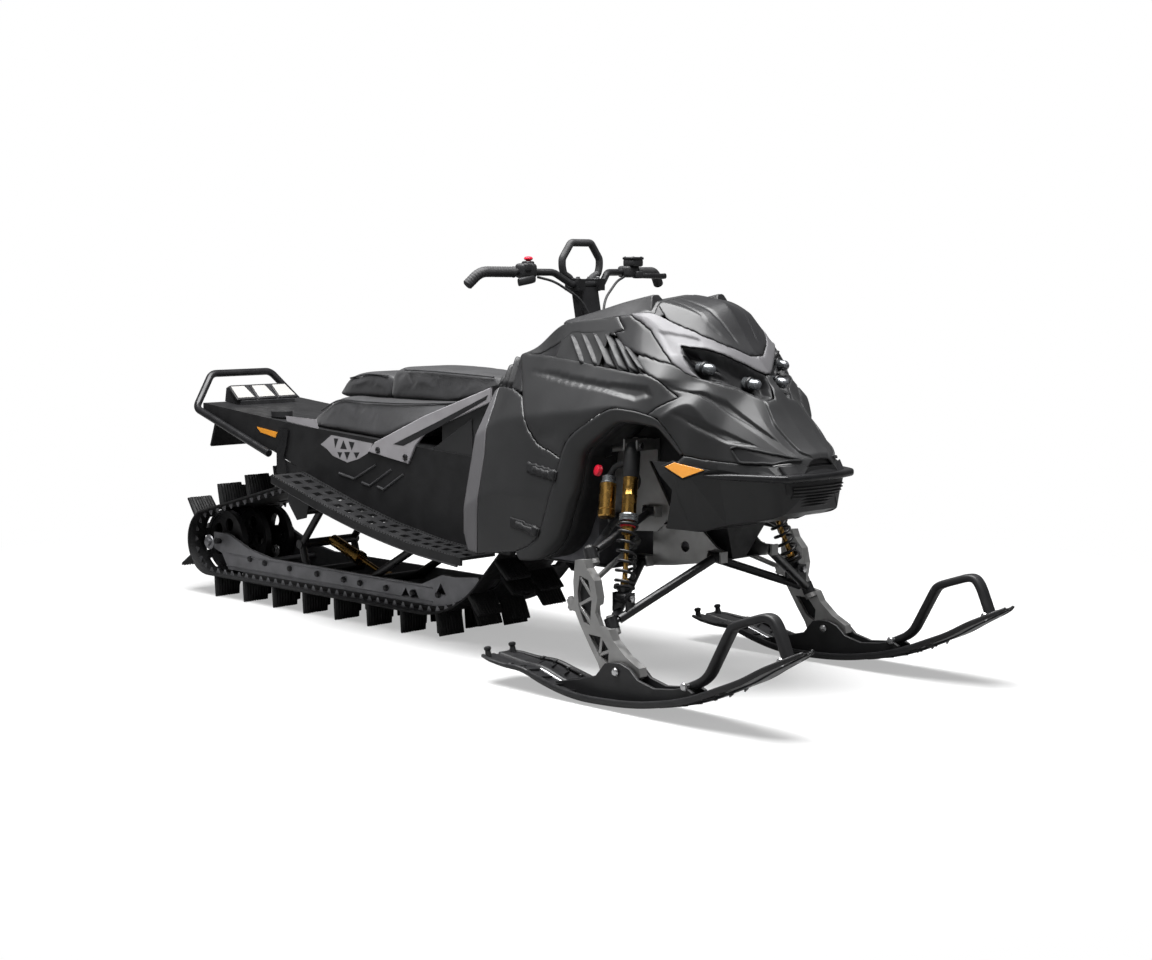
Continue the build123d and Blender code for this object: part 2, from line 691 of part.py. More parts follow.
def flat_fan(points):
    """Flat triangles that fill a station's outline from its first corner."""
    return [Face(Wire.make_polygon([points[0], points[i], points[i + 1]])) for i in range(1, len(points) - 1)]


def faceted_solid(rings):
    """A closed solid of flat triangles through a list of outlines, each (x, outline)."""
    faces = []
    for (x1, one), (x2, two) in zip(rings[:-1], rings[1:]):
        count = len(one)
        for i in range(count):
            j = (i + 1) % count
            a, b = (x1, *one[i]), (x1, *one[j])
            c, d = (x2, *two[j]), (x2, *two[i])
            faces.append(Face(Wire.make_polygon([a, b, c])))
            faces.append(Face(Wire.make_polygon([a, c, d])))
    faces += flat_fan([(rings[0][0], *p) for p in rings[0][1]])
    faces += flat_fan([(rings[-1][0], *p) for p in rings[-1][1]])
    return Solid(Shell(faces))


outer_rings = [(x, full_outline(half)) for x, half in stations]
inner_rings = []
for x, outline in outer_rings:
    at_end = x in (stations[0][0], stations[-1][0])
    inner_rings.append((x - 2 * shell_wall if at_end else x, inset_outline(outline, shell_wall)))

body_outer = faceted_solid(outer_rings)
body_inner = faceted_solid(inner_rings)
with BuildPart() as body_shell:
    add(body_outer)
    add(body_inner, mode=Mode.SUBTRACT)

post_axis = Vector(-sin(radians(post_lean)), 0, cos(radians(post_lean)))
post_foot = Vector(post_x, 0, post_base_z) - post_axis * post_depth
post_plane = Plane(origin=post_foot, z_dir=post_axis, x_dir=(cos(radians(post_lean)), 0, sin(radians(post_lean))))


def shell_panel(outline, side, cut=None):
    """The part of the shell inside a side-view outline, on the right side or on both, less a cut-out."""
    with BuildPart() as panel:
        with BuildSketch(Plane.XZ):
            with BuildLine():
                Polyline(*outline, close=True)
            make_face()
            offset(amount=-seam_gap / 2, kind=Kind.INTERSECTION)
        extrude(amount=600, both=side == "both")
        if cut:
            with BuildSketch(Plane.XZ) as cut_out:
                Polygon(*cut, align=None)
                offset(amount=seam_gap / 2, kind=Kind.INTERSECTION)
            extrude(cut_out.sketch, amount=600, both=True, mode=Mode.SUBTRACT)
        add(body_shell.part, mode=Mode.INTERSECT)
    return panel.part


panel_top = [(150, 836), (300, 958), (456, 950), (640, 934), (760, 922), (900, 905), (982, 853)]
arch_line = [(905, 800), (815, 819), (742, 811), (652, 728), (576, 657), (545, 560), (545, 400), (576, 285)]
side_outline = panel_top + arch_line + [(448, 270), (140, 270), (140, 836)]
with BuildPart() as side_panel_right:
    add(shell_panel(side_outline, "right"))
    with Locations((360, -(350 - 2 * shell_wall) / 2, 325)):
        Box(640, 350 - 2 * shell_wall, 100, mode=Mode.SUBTRACT)
keep(side_panel_right.part, "side_panel_right")
keep(mirrored(side_panel_right.part), "side_panel_left")

console_outline = [(140, 1000), (140, 836), (150, 836), (300, 958), (456, 950), (640, 934), (660, 934), (660, 1200)]
with BuildPart() as console:
    add(shell_panel(console_outline, "both"))
    with BuildSketch(post_plane):
        Circle(post_opening)
    extrude(amount=2 * post_depth, mode=Mode.SUBTRACT)
keep(console.part, "console")

visor_outline = [(660, 1200), (1060, 1200), (1060, 965), (950, 1017), (835, 1060), (802, 1088), (660, 1084)]
keep(shell_panel(visor_outline, "both"), "visor")

lamp_outline = [(660, 1084), (802, 1088), (835, 1060), (950, 1017), (1060, 965), (1110, 900),
                (1010, 870), (931, 937), (660, 934)]
lens_outline = [(913, 993), (984, 984), (1060, 932), (1080, 897), (1006, 875), (960, 916)]
keep(shell_panel(lamp_outline, "both", lens_outline), "lamp_surround")
keep(shell_panel(lens_outline, "both"), "headlamps")

hood_outline = [(660, 934), (931, 937), (1010, 870), (1110, 900), (1300, 700), (1300, 660),
                (908, 672), (908, 800), (982, 853), (900, 905)]
keep(shell_panel(hood_outline, "both"), "hood")

fascia_outline = [(908, 672), (1300, 660), (1300, 440), (900, 440), (955, 590)]
keep(shell_panel(fascia_outline, "both"), "front_fascia")


# Front bumper: a thin lip round the nose
with BuildPart() as front_bumper:
    with BuildSketch(Plane.XY.offset(bumper_lip_z)):
        with BuildLine():
            nose_lip = [(1050, 262), (1271, 151), (1288, 0), (1271, -151), (1050, -262)]
            Polyline(*nose_lip, (1050, -200), (1100, 0), (1050, 200), nose_lip[0])
        make_face()
    extrude(amount=2 * shell_wall)
    add(body_outer, mode=Mode.SUBTRACT)
keep(front_bumper.part, "front_bumper")

# Belly pan: a tray under the engine that runs forwards to the chin below the nose
pan_wall = 4
pan_line = [(290, 327), (lower_pivot_rear[0] - 20, 330), (805, 344), (lower_pivot_front[0] - 12, 371)]
pan_inner = lower_plate_y - seat_clearance / 2
with BuildPart() as belly_pan:
    with BuildSketch(Plane.XZ.offset(-pan_inner)):
        with BuildLine():
            Polyline(*pan_line, *[(x, z - pan_wall) for x, z in reversed(pan_line)], pan_line[0])
        make_face()
    extrude(amount=2 * pan_inner)
    with BuildSketch(Plane.XZ.offset(-engine_width / 2)):
        Polygon(pan_line[0], (lower_pivot_rear[0] - 40, pan_line[1][1]),
                (lower_pivot_rear[0] - 40, pan_line[1][1] - pan_wall),
                (pan_line[0][0], pan_line[0][1] - pan_wall), align=None)
    extrude(amount=engine_width)
    chin_rings = [[(900, -20, 368), (972, -30, 371), (972, 30, 371), (900, 20, 368)],
                  [(900, -82, 473.6), (999, -88, 467.7), (999, 88, 467.7), (900, 82, 473.6)]]
    low, high = chin_rings
    chin_faces = [Face(Wire.make_polygon(low)), Face(Wire.make_polygon(high))]
    for i in range(4):
        j = (i + 1) % 4
        chin_faces.append(Face(Wire.make_polygon([low[i], low[j], high[j]])))
        chin_faces.append(Face(Wire.make_polygon([low[i], high[j], high[i]])))
    add(Solid(Shell(chin_faces)))
keep(belly_pan.part, "belly_pan")

with BuildPart() as engine:
    engine_low = pan_line[1][1] + seat_clearance
    with Locations((engine_rear_x + engine_length / 2, 0, (engine_low + engine_top_z) / 2)):
        Box(engine_length, engine_width - 4, engine_top_z - engine_low)
keep(engine.part, "engine")


def along_x(x, y, z, radius, length, mode=Mode.ADD):
    """A round bar or hole lying along the machine, centred at a point."""
    with Locations(Location((x, y, z), (0, 90, 0))):
        Cylinder(radius, length, mode=mode)


def pivot_ears(x, y_in, y_pin, z):
    """Two ears beside an eye with the pin through them, on the right side of the frame."""
    y_out = y_pin - ear_reach
    for end in (-1, 1):
        ear_x = x + end * (pivot_length / 2 + running_clearance + ear_wall / 2)
        with Locations((ear_x, (y_in + y_out) / 2, z)):
            Box(ear_wall, abs(y_out - y_in), 2 * pivot_eye + 2)
    along_x(x, y_pin, z, pivot_radius, pivot_length + 2 * ear_wall)


lower_pivot_y = -(lower_plate_y + plate_wall + pivot_eye + 3)
upper_pivot_y = -(upper_plate_y + plate_wall + pivot_eye + 3)
post_bearing = Vector(post_x, 0, post_base_z) - post_axis * (post_depth - 20)
with BuildPart() as front_frame:
    with BuildSketch(Plane.XZ.offset(upper_plate_y)):
        Polygon((625, 700), (735, 700), (862, 504), (800, 448), (700, 440), (625, 448), align=None)
        with Locations((700, 590)):
            Circle(34, mode=Mode.SUBTRACT)
    extrude(amount=plate_wall)
    with BuildSketch(Plane.XZ.offset(lower_plate_y)):
        with BuildLine():
            Polyline((722, 462), (830, 462), (868, 490), (905, 462), (970, 409), (1003, 398), (996, 370),
                     (805, 344 - pan_wall), (672, 330 - pan_wall), (672, 362), (722, 362), (722, 462))
        make_face()
        with Locations((850, 400)):
            Circle(16, mode=Mode.SUBTRACT)
    extrude(amount=plate_wall)
    with BuildSketch(Plane.XZ.offset(lower_plate_y)):
        Polygon((722, 462), (830, 462), (838, 470), (722, 470), align=None)
    extrude(amount=upper_plate_y + plate_wall - lower_plate_y)
    for x, z in (lower_pivot_front, lower_pivot_rear):
        pivot_ears(x, -lower_plate_y - plate_wall + 1, lower_pivot_y, z)
    for x, z in (upper_pivot_front, upper_pivot_rear):
        pivot_ears(x, -upper_plate_y - plate_wall + 1, upper_pivot_y, z)
    pivot_ears(shock_top.X, -upper_plate_y - plate_wall + 1, shock_top.Y, shock_top.Z)
    with Locations((shock_top.X - 30, -(upper_plate_y + plate_wall / 2), shock_top.Z - 20)):
        Box(100, plate_wall, 66)
    mirror(about=Plane.XZ)
    across(frame_cross_x, frame_cross_z, tunnel_inside - seat_clearance / 2, 12)
    across(745, 480, upper_plate_y + 1, 10)
    for side in (-1, 1):
        bar(tuple(post_bearing), (frame_cross_x, side * (upper_plate_y - 4), frame_cross_z), 11)
    with BuildSketch(Plane(origin=post_bearing - post_axis * 20, z_dir=post_axis)) as bearing:
        Circle(post_radius + 10)
    extrude(bearing.sketch, amount=40)
    with BuildSketch(Plane(origin=post_bearing - post_axis * 60, z_dir=post_axis)) as bearing_bore:
        Circle(post_radius + running_clearance)
    extrude(bearing_bore.sketch, amount=120, mode=Mode.SUBTRACT)
keep(front_frame.part, "front_frame")

# Front suspension, right side first
kingpin = (kingpin_top - kingpin_foot).normalized()


def pin_piece(centre, start, end, radius, mode=Mode.ADD):
    """A round piece along the kingpin's direction, from one height to another past a centre."""
    with BuildSketch(Plane(origin=centre + kingpin * start, z_dir=kingpin)) as section:
        Circle(radius)
    extrude(section.sketch, amount=end - start, mode=mode)


def short_of(point, towards, distance):
    """The point that lies a distance from one end of a bar towards the other."""
    line = (Vector(*towards) - Vector(*point)).normalized()
    return tuple(Vector(*point) + line * distance)


def wishbone(front, rear, pivot_y, ball, tube):
    """Two tubes from their inner eyes to the ball housing at the kingpin."""
    for x, z in (front, rear):
        inner = (x, pivot_y, z)
        bar(short_of(inner, tuple(ball), pivot_eye - 3), short_of(tuple(ball), inner, ball_housing + 8), tube)
        bar(short_of(tuple(ball), inner, ball_housing + 12), short_of(tuple(ball), inner, 12), tube * 0.54)
        along_x(x, pivot_y, z, pivot_eye, pivot_length)
    pin_piece(ball, -ball_reach, ball_reach, ball_housing)
    for x, z in (front, rear):
        along_x(x, pivot_y, z, pivot_radius + running_clearance, pivot_length + 2, mode=Mode.SUBTRACT)
    pin_piece(ball, -ball_reach - 30, ball_reach + 30, ball_stud + running_clearance, mode=Mode.SUBTRACT)


ball_reach = 17
with BuildPart() as lower_arm_right:
    wishbone(lower_pivot_front, lower_pivot_rear, lower_pivot_y, kingpin_foot, arm_tube)
    for end in (-1, 1):
        ear_x = shock_foot.X + end * (pivot_length / 2 + running_clearance + ear_wall / 2)
        with Locations((ear_x, shock_foot.Y, shock_foot.Z - 12)):
            Box(ear_wall, 34, 54)
    along_x(shock_foot.X, shock_foot.Y, shock_foot.Z, pivot_radius, pivot_length + 2 * ear_wall)
keep(lower_arm_right.part, "lower_arm_right")
keep(mirrored(lower_arm_right.part), "lower_arm_left")

with BuildPart() as upper_arm_right:
    wishbone(upper_pivot_front, upper_pivot_rear, upper_pivot_y, kingpin_top, arm_tube - 2)
keep(upper_arm_right.part, "upper_arm_right")
keep(mirrored(upper_arm_right.part), "upper_arm_left")

shock_axis = (shock_foot - shock_top).normalized()
shock_length = (shock_foot - shock_top).length
shock_split = 0.5
spring_from = 0.52
spring_to = 0.93
spring_radius = 31
spring_wall = 9
ring_height = 6


def shock_piece(start, end, radius, mode=Mode.ADD):
    """A round piece of the shock between two distances down from its top eye."""
    with BuildSketch(Plane(origin=shock_top + shock_axis * start, z_dir=shock_axis)) as section:
        Circle(radius)
    extrude(section.sketch, amount=end - start, mode=mode)


spring_start = shock_length * spring_from
spring_end = shock_length * spring_to
with BuildPart() as front_shock_right:
    shock_piece(8, 34, 11)
    shock_piece(30, shock_length * shock_split, 20)
    shock_piece(shock_length * shock_split - 1, shock_length - 8, 9)
    shock_piece(spring_start - running_clearance - ring_height, spring_start - running_clearance, spring_radius)
    shock_piece(spring_end + running_clearance, spring_end + running_clearance + ring_height, spring_radius - 6)
    for end in (shock_top, shock_foot):
        along_x(end.X, end.Y, end.Z, pivot_eye, pivot_length)
        along_x(end.X, end.Y, end.Z, pivot_radius + running_clearance, pivot_length + 2, mode=Mode.SUBTRACT)
    reservoir_top = shock_top + shock_axis * 110 + Vector(-52, 4, 0)
    reservoir_foot = reservoir_top + shock_axis * 120
    bar(tuple(reservoir_top), tuple(reservoir_foot), 19)
    bar(tuple(reservoir_top + shock_axis * 14), tuple(shock_top + shock_axis * 112), 9)
keep(front_shock_right.part, "front_shock_right")
keep(mirrored(front_shock_right.part), "front_shock_left")

with BuildPart() as front_springs:
    shock_piece(spring_start, spring_end, spring_radius)
    shock_piece(spring_start - 1, spring_end + 1, spring_radius - spring_wall, mode=Mode.SUBTRACT)
    mirror(about=Plane.XZ)
keep(front_springs.part, "front_springs")

# Spindle: a bowed cast leg between the two ball joints and the ski bolt
leg_half = 15
tie_reach = 9
leg_y = half_stance - 1.5
with BuildPart() as spindle_right:
    with BuildSketch(Plane.XZ.offset(leg_y - leg_half)):
        with BuildLine():
            Polyline((772, 392), (764, 330), (768, 280), (744, 272), (742, 250), (772, 244), (795, 204),
                     (834, 146), (862, 108), (872, 86), (905, 74), (1000, 74), (1024, 90), (1020, 114),
                     (968, 140), (922, 178), (904, 208), (872, 214), (852, 250), (859, 293), (848, 340),
                     (818, 372), (808, 396), (772, 392))
        make_face()
        with BuildLine(mode=Mode.PRIVATE) as window_low:
            Polyline((826, 186), (868, 130), (902, 110), (905, 150), (874, 184), (826, 186))
        make_face(window_low.edges(), mode=Mode.SUBTRACT)
        with BuildLine(mode=Mode.PRIVATE) as window_high:
            Polyline((786, 262), (806, 218), (832, 212), (834, 250), (838, 292), (824, 340), (790, 350),
                     (782, 300), (786, 262))
        make_face(window_high.edges(), mode=Mode.SUBTRACT)
    extrude(amount=2 * leg_half)
    with BuildSketch(Plane.XZ.offset(leg_y - 3)) as leg_web:
        Polygon((780, 370), (772, 260), (862, 104), (960, 110), (858, 230), (850, 320), align=None)
    extrude(leg_web.sketch, amount=6)
    pin_piece(kingpin_foot, -ball_reach - running_clearance, 60, ball_housing + 6, mode=Mode.SUBTRACT)
    pin_piece(kingpin_top, -ball_reach - running_clearance, 60, ball_housing + 6, mode=Mode.SUBTRACT)
    pin_piece(tie_stud, -tie_reach - running_clearance, 40, 18, mode=Mode.SUBTRACT)
    for centre in (kingpin_foot, kingpin_top):
        pin_piece(centre, -ball_reach - running_clearance - 14, -ball_reach - running_clearance, ball_housing - 1)
        pin_piece(centre, -ball_reach - 8, ball_reach + 6, ball_stud)
        pin_piece(centre, ball_reach + running_clearance, ball_reach + running_clearance + 7, ball_stud + 2.5)
    pin_piece(tie_stud, -tie_reach - 14, -tie_reach - running_clearance, 14)
    pin_piece(tie_stud, -tie_reach - 6, tie_reach + 6, 6)
    pin_piece(tie_stud, tie_reach + running_clearance, tie_reach + 6, 8)
    boss_half = saddle_inside / 2 - running_clearance
    with Locations(Location((ski_bolt_x, -half_stance, ski_bolt_z), (90, 0, 0))):
        Cylinder(22, 2 * boss_half)
        Cylinder(ski_bolt_radius + running_clearance, 3 * boss_half, mode=Mode.SUBTRACT)
keep(spindle_right.part, "spindle_right")
keep(mirrored(spindle_right.part), "spindle_left")

tie_inner = (692, -132, 408)
with BuildPart() as tie_rod_right:
    bar(short_of(tuple(tie_stud), tie_inner, 22), tie_inner, 8)
    bar(short_of(tuple(tie_stud), tie_inner, 10), short_of(tuple(tie_stud), tie_inner, 24), 4)
    bar(short_of(tie_inner, tuple(tie_stud), 10), short_of(tie_inner, tuple(tie_stud), 70), 11)
    pin_piece(tie_stud, -tie_reach, tie_reach, 13)
    pin_piece(tie_stud, -tie_reach - 1, tie_reach + 1, 6 + running_clearance, mode=Mode.SUBTRACT)
keep(tie_rod_right.part, "tie_rod_right")
keep(mirrored(tie_rod_right.part), "tie_rod_left")

# Skis: a narrow tray that rises to the tip, with a saddle for the spindle
keel_points = [(430, 66), (613, 46), (780, 8), (925, 0), (1081, 14), (1292, 68), (1490, 167), (ski_tip_x, 230)]
plan_half = [(430, 66), (470, 78), (900, ski_width / 2), (1250, ski_width / 2), (1450, 74), (1560, 52),
             (ski_tip_x, 24)]
with BuildPart() as ski_right:
    with BuildSketch(Plane.XZ.offset(half_stance - ski_width / 2)):
        with BuildLine():
            low = Spline(*keel_points)
            high = Spline(*[(x, z + ski_thickness) for x, z in reversed(keel_points)])
            Line(low @ 1, high @ 0)
            Line(high @ 1, low @ 0)
        make_face()
    extrude(amount=ski_width)
    with BuildSketch(Plane.XY.offset(-1)):
        with Locations((0, -half_stance)):
            Polygon(*plan_half, *[(x, -y) for x, y in reversed(plan_half)], align=None)
            with Locations((430, 0)):
                Rectangle(150, 46, mode=Mode.SUBTRACT)
    extrude(amount=400, mode=Mode.INTERSECT)
    for side in (-1, 1):
        near = half_stance + side * (saddle_inside + saddle_wall) / 2 - saddle_wall / 2
        with BuildSketch(Plane.XZ.offset(near)):
            Polygon((700, 34), (860, 66), (905, 116), (965, 124), (1010, 104), (1060, 76), (1215, 84),
                    (1225, 66), (1215, 48), (1080, 20), (925, 8), (780, 14), align=None)
        extrude(amount=saddle_wall)
        rim = half_stance + side * (ski_width / 2 - 12) - 4
        with BuildSketch(Plane.XZ.offset(rim)):
            Polygon((640, 46), (780, 34), (925, 30), (1081, 40), (1240, 68), (1240, 56), (1081, 20),
                    (925, 8), (780, 14), (640, 42), align=None)
        extrude(amount=8)
    with Locations(Location((ski_bolt_x, -half_stance, ski_bolt_z), (90, 0, 0))):
        Cylinder(ski_bolt_radius, saddle_inside + 2 * saddle_wall + 8)
keep(ski_right.part, "ski_right")
keep(mirrored(ski_right.part), "ski_left")

loop_width = saddle_inside - seat_clearance
with BuildPart() as ski_loop_right:
    with BuildSketch(Plane.XZ.offset(half_stance - loop_width / 2)):
        with BuildLine():
            Polyline((1184, 64), (1262, 74), (1318, 150), (1352, 226), (1386, 262), (1468, 290), (1482, 284),
                     (1506, 214), (1500, 186), (1534, 204), (1548, 218), (1500, 312), (1470, 326),
                     (1352, 296), (1326, 274), (1262, 178), (1196, 96), (1184, 64))
        make_face()
    extrude(amount=loop_width)
    add(ski_right.part, mode=Mode.SUBTRACT)
keep(ski_loop_right.part, "ski_loop_right")
keep(mirrored(ski_loop_right.part), "ski_loop_left")

# Bars on the raked post
bar_height = 1166
strap_foot_y = 44
clamp_height = 36
bar_points = [(258, -428, 1164), (276, -388, 1206), (318, -120, 1204), (344, -66, bar_height),
              (344, 66, bar_height), (318, 120, 1204), (276, 388, 1206), (258, 428, 1164)]
grip_share = 0.45
with BuildPart() as handlebar:
    with BuildLine() as bar_path:
        FilletPolyline(*bar_points, radius=(25, 40, 30, 30, 40, 25))
    with BuildSketch(Plane(origin=bar_path.line @ 0, z_dir=bar_path.line % 0)):
        Circle(bar_radius)
    sweep(transition=Transition.ROUND)
keep(handlebar.part, "handlebar")

grip_fit = bar_radius + running_clearance / 2
with BuildPart() as grips:
    with BuildLine() as grip_path:
        FilletPolyline(bar_points[0], bar_points[1], lerp(bar_points[1], bar_points[2], grip_share), radius=25)
    grip_plane = Plane(origin=grip_path.line @ 0, z_dir=grip_path.line % 0)
    with BuildSketch(grip_plane):
        Circle(grip_radius)
        Circle(grip_fit, mode=Mode.SUBTRACT)
    sweep(transition=Transition.ROUND)
    mirror(about=Plane.XZ)
keep(grips.part, "grips")

with BuildPart() as riser:
    riser_start = post_foot + post_axis * (post_depth + 4)
    with BuildSketch(Plane(origin=riser_start, z_dir=post_axis)):
        Rectangle(44, 74)
    extrude(amount=riser_height)
    with BuildSketch(Plane(origin=post_foot, z_dir=post_axis)) as post_tube:
        Circle(post_radius)
    extrude(post_tube.sketch, amount=post_depth + 10)
    for side in (-1, 1):
        with Locations((strap_x + 18, side * strap_foot_y, bar_height)):
            Box(strap_depth + 38, 28, clamp_height)
    with Locations(Location((344, 0, bar_height), (90, 0, 0))):
        Cylinder(grip_fit, 200, mode=Mode.SUBTRACT)
keep(riser.part, "riser")

strap_foot_z = bar_height + clamp_height / 2 + seat_clearance
with BuildPart() as strap_loop:
    with BuildSketch(Plane.YZ.offset(strap_x - strap_depth / 2)):
        strap_out = [(strap_foot_y + 12, strap_foot_z), (86, 1197), (94, 1220), (94, 1248), (50, 1308)]
        Polygon(*strap_out, *[(-y, z) for y, z in reversed(strap_out)], align=None)
        strap_in = [(strap_foot_y - 12, strap_foot_z - 1), (63, 1206), (71, 1224), (71, 1244), (39, 1286)]
        Polygon(*strap_in, *[(-y, z) for y, z in reversed(strap_in)], align=None, mode=Mode.SUBTRACT)
    extrude(amount=strap_depth)
keep(strap_loop.part, "strap_loop")

control_y = 226
block_half = 31
control_share = (-bar_points[1][1] - control_y) / (bar_points[2][1] - bar_points[1][1])
control_right = lerp(bar_points[1], bar_points[2], control_share)
control_left = (control_right[0], -control_right[1], control_right[2])


def beside(place, dx, dy, dz):
    return (place[0] + dx, place[1] + dy, place[2] + dz)


with BuildPart() as throttle_block:
    with Locations(beside(control_right, 4, 0, 4)):
        Box(50, 2 * block_half, 48)
    with Locations(beside(control_right, 34, -36, -22)):
        Box(14, 92, 20)
    with Locations(beside(control_right, 4, 14, 38)):
        Cylinder(13, 24)
    bar(bar_points[1], bar_points[2], grip_fit, Mode.SUBTRACT)
keep(throttle_block.part, "throttle_block")

with BuildPart() as brake_lever:
    with Locations(beside(control_left, 10, 0, 2)):
        Box(56, 2 * block_half, 40)
    with Locations(beside(control_left, 22, 8, 34)):
        Box(50, 58, 34)
    with Locations(beside(control_left, 44, 66, -10)):
        Box(12, 150, 20)
    bar(beside(bar_points[1], 0, -2 * bar_points[1][1], 0), beside(bar_points[2], 0, -2 * bar_points[2][1], 0),
        grip_fit, Mode.SUBTRACT)
keep(brake_lever.part, "brake_lever")


def cord(points, radius):
    """A held cable through its points, with every bend as wide as its shorter run allows."""
    bends = []
    for before, here, after in zip(points[:-2], points[1:-1], points[2:]):
        run_in = Vector(*here) - Vector(*before)
        run_out = Vector(*after) - Vector(*here)
        half_turn = radians(run_in.get_angle(run_out)) / 2
        bends.append(0.45 * min(run_in.length, run_out.length) / tan(half_turn))
    with BuildLine() as path:
        FilletPolyline(*points, radius=tuple(bends))
    with BuildSketch(Plane(origin=path.line @ 0, z_dir=path.line % 0)) as section:
        Circle(radius)
    sweep(section.sketch, path=path.line, transition=Transition.ROUND)


cable_radius = 4
with BuildPart() as control_cables:
    cable_start = -control_y + block_half + cable_radius / 2
    cable_points = [(control_right[0] + 20, cable_start, control_right[2] - 15),
                    (control_right[0] + 40, -140, control_right[2] - 28), (371, -54, 1122), (388, -26, 1062),
                    (389, -20, 1000)]
    cord(cable_points, cable_radius)
    mirror(about=Plane.XZ)
keep(control_cables.part, "control_cables")

print(len(written), "nodes")
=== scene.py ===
"""Snowmobile: the visible pieces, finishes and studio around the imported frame.

Tables and shapes are in millimetres from the measuring mark, +X forward, +Y left and +Z up."""

import bmesh
import bpy
import numpy as np
from bpy.props import FloatProperty, FloatVectorProperty, IntProperty, PointerProperty
from mathutils import Euler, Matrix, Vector


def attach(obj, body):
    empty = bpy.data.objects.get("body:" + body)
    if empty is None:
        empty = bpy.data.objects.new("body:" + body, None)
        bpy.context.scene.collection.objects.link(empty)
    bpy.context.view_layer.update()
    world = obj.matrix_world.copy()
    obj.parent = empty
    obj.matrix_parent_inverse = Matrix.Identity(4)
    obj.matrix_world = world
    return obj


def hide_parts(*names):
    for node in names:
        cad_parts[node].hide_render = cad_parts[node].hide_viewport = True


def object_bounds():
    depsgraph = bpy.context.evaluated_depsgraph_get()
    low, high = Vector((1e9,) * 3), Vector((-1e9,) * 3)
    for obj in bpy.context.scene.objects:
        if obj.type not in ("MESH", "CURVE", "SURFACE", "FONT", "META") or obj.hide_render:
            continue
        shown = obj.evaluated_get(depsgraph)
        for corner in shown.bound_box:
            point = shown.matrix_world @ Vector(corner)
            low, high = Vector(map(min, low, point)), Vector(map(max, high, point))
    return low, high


bl_info = {
    "name": "Snowmobile",
    "version": (1, 0, 0),
    "blender": (4, 5, 0),
    "location": "View3D > Sidebar > Snowmobile",
    "description": "Builds the bodywork, track, seat, skis, bars and finishes of a deep-snow snowmobile",
    "category": "Object",
}

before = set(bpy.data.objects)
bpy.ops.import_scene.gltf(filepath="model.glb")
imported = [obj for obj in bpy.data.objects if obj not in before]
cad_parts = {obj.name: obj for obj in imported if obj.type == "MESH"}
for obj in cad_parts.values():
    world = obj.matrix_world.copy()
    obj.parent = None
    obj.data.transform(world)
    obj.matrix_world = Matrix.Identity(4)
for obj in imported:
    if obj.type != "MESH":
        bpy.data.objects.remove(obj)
CAD_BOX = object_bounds()

SHIFT = 0.025  # metres from the measuring mark to the middle of the machine
MM = 0.001
CHASSIS = "chassis"
BARS = "bars"
SIDES = (("right", -1), ("left", 1))
UP = (0.0, 0.0, 1.0)
TWICE = np.array([1.0, -1.0, 1.0])  # turns a point into its mirror image across the machine


# ---------------------------------------------------------------- sizes and colours


class StudioSettings(bpy.types.PropertyGroup):
    """Camera, lamps and floor."""

    eye: FloatVectorProperty(name="Camera place", description="Where the camera stands", size=3,
                             default=(4.6357, -4.3673, 1.1947), subtype="TRANSLATION", unit="LENGTH")
    yaw: FloatProperty(name="Camera heading", description="Turn of the view from +X towards +Y",
                       default=np.radians(134.649), subtype="ANGLE", unit="ROTATION")
    pitch: FloatProperty(name="Camera tilt", description="Tilt of the view, down is negative",
                         default=np.radians(-6.006), subtype="ANGLE", unit="ROTATION")
    lens: FloatProperty(name="Lens", description="Focal length on a 36 mm sensor", default=60.77)
    floor_grey: FloatProperty(name="Floor", description="Brightness of the floor", default=0.7, min=0, max=1)
    key_power: FloatProperty(name="Top lamp", description="Power of the large lamp overhead",
                             default=720.0, unit="POWER")
    side_power: FloatProperty(name="Side lamp", description="Power of the lamp beside the camera",
                              default=16.0, unit="POWER")
    sky: FloatProperty(name="Sky", description="Strength of the even light from all round", default=0.13)


class FinishSettings(bpy.types.PropertyGroup):
    """Colours of the main finishes."""

    body: FloatVectorProperty(name="Panels", description="Dark moulded panels", size=3,
                              default=(0.022, 0.0222, 0.023), subtype="COLOR", min=0, max=1)
    grey: FloatVectorProperty(name="Accents", description="Painted grey panels", size=3,
                              default=(0.105, 0.103, 0.108), subtype="COLOR", min=0, max=1)
    gold: FloatVectorProperty(name="Dampers", description="Anodised damper bodies", size=3,
                              default=(0.44, 0.255, 0.07), subtype="COLOR", min=0, max=1)
    silver: FloatVectorProperty(name="Castings", description="Bare cast metal", size=3,
                                default=(0.34, 0.338, 0.335), subtype="COLOR", min=0, max=1)
    amber: FloatVectorProperty(name="Reflectors", description="Amber reflector lenses", size=3,
                               default=(0.95, 0.38, 0.04), subtype="COLOR", min=0, max=1)


# ---------------------------------------------------------------- finishes


NOISE_MIDDLE = (0.3, 0.7)  # where noise values mostly lie
SHINE = 0.35
COAT_ROUGH = 0.08
PATCH_SCALE = 2.7  # roughness patches for each patch of colour
GRAIN_DEPTH = 0.0006
HIDE_CELLS = 420.0
HIDE_DEPTH = 0.0005


def node(tree, kind, inputs=None, **values):
    """A shader node with its plain settings and the values of its inputs."""
    made = tree.nodes.new(kind)
    for key, value in values.items():
        setattr(made, key, value)
    set_inputs(made, inputs or {})
    return made


def set_inputs(shader, inputs):
    """Sets the plain values of a node's inputs."""
    for key, value in inputs.items():
        shader.inputs[key].default_value = value


def link(tree, *wires):
    """Joins nodes, each wire as (node, its output, next node, its input)."""
    for source, output, target, entry in wires:
        tree.links.new(source.outputs[output], target.inputs[entry])


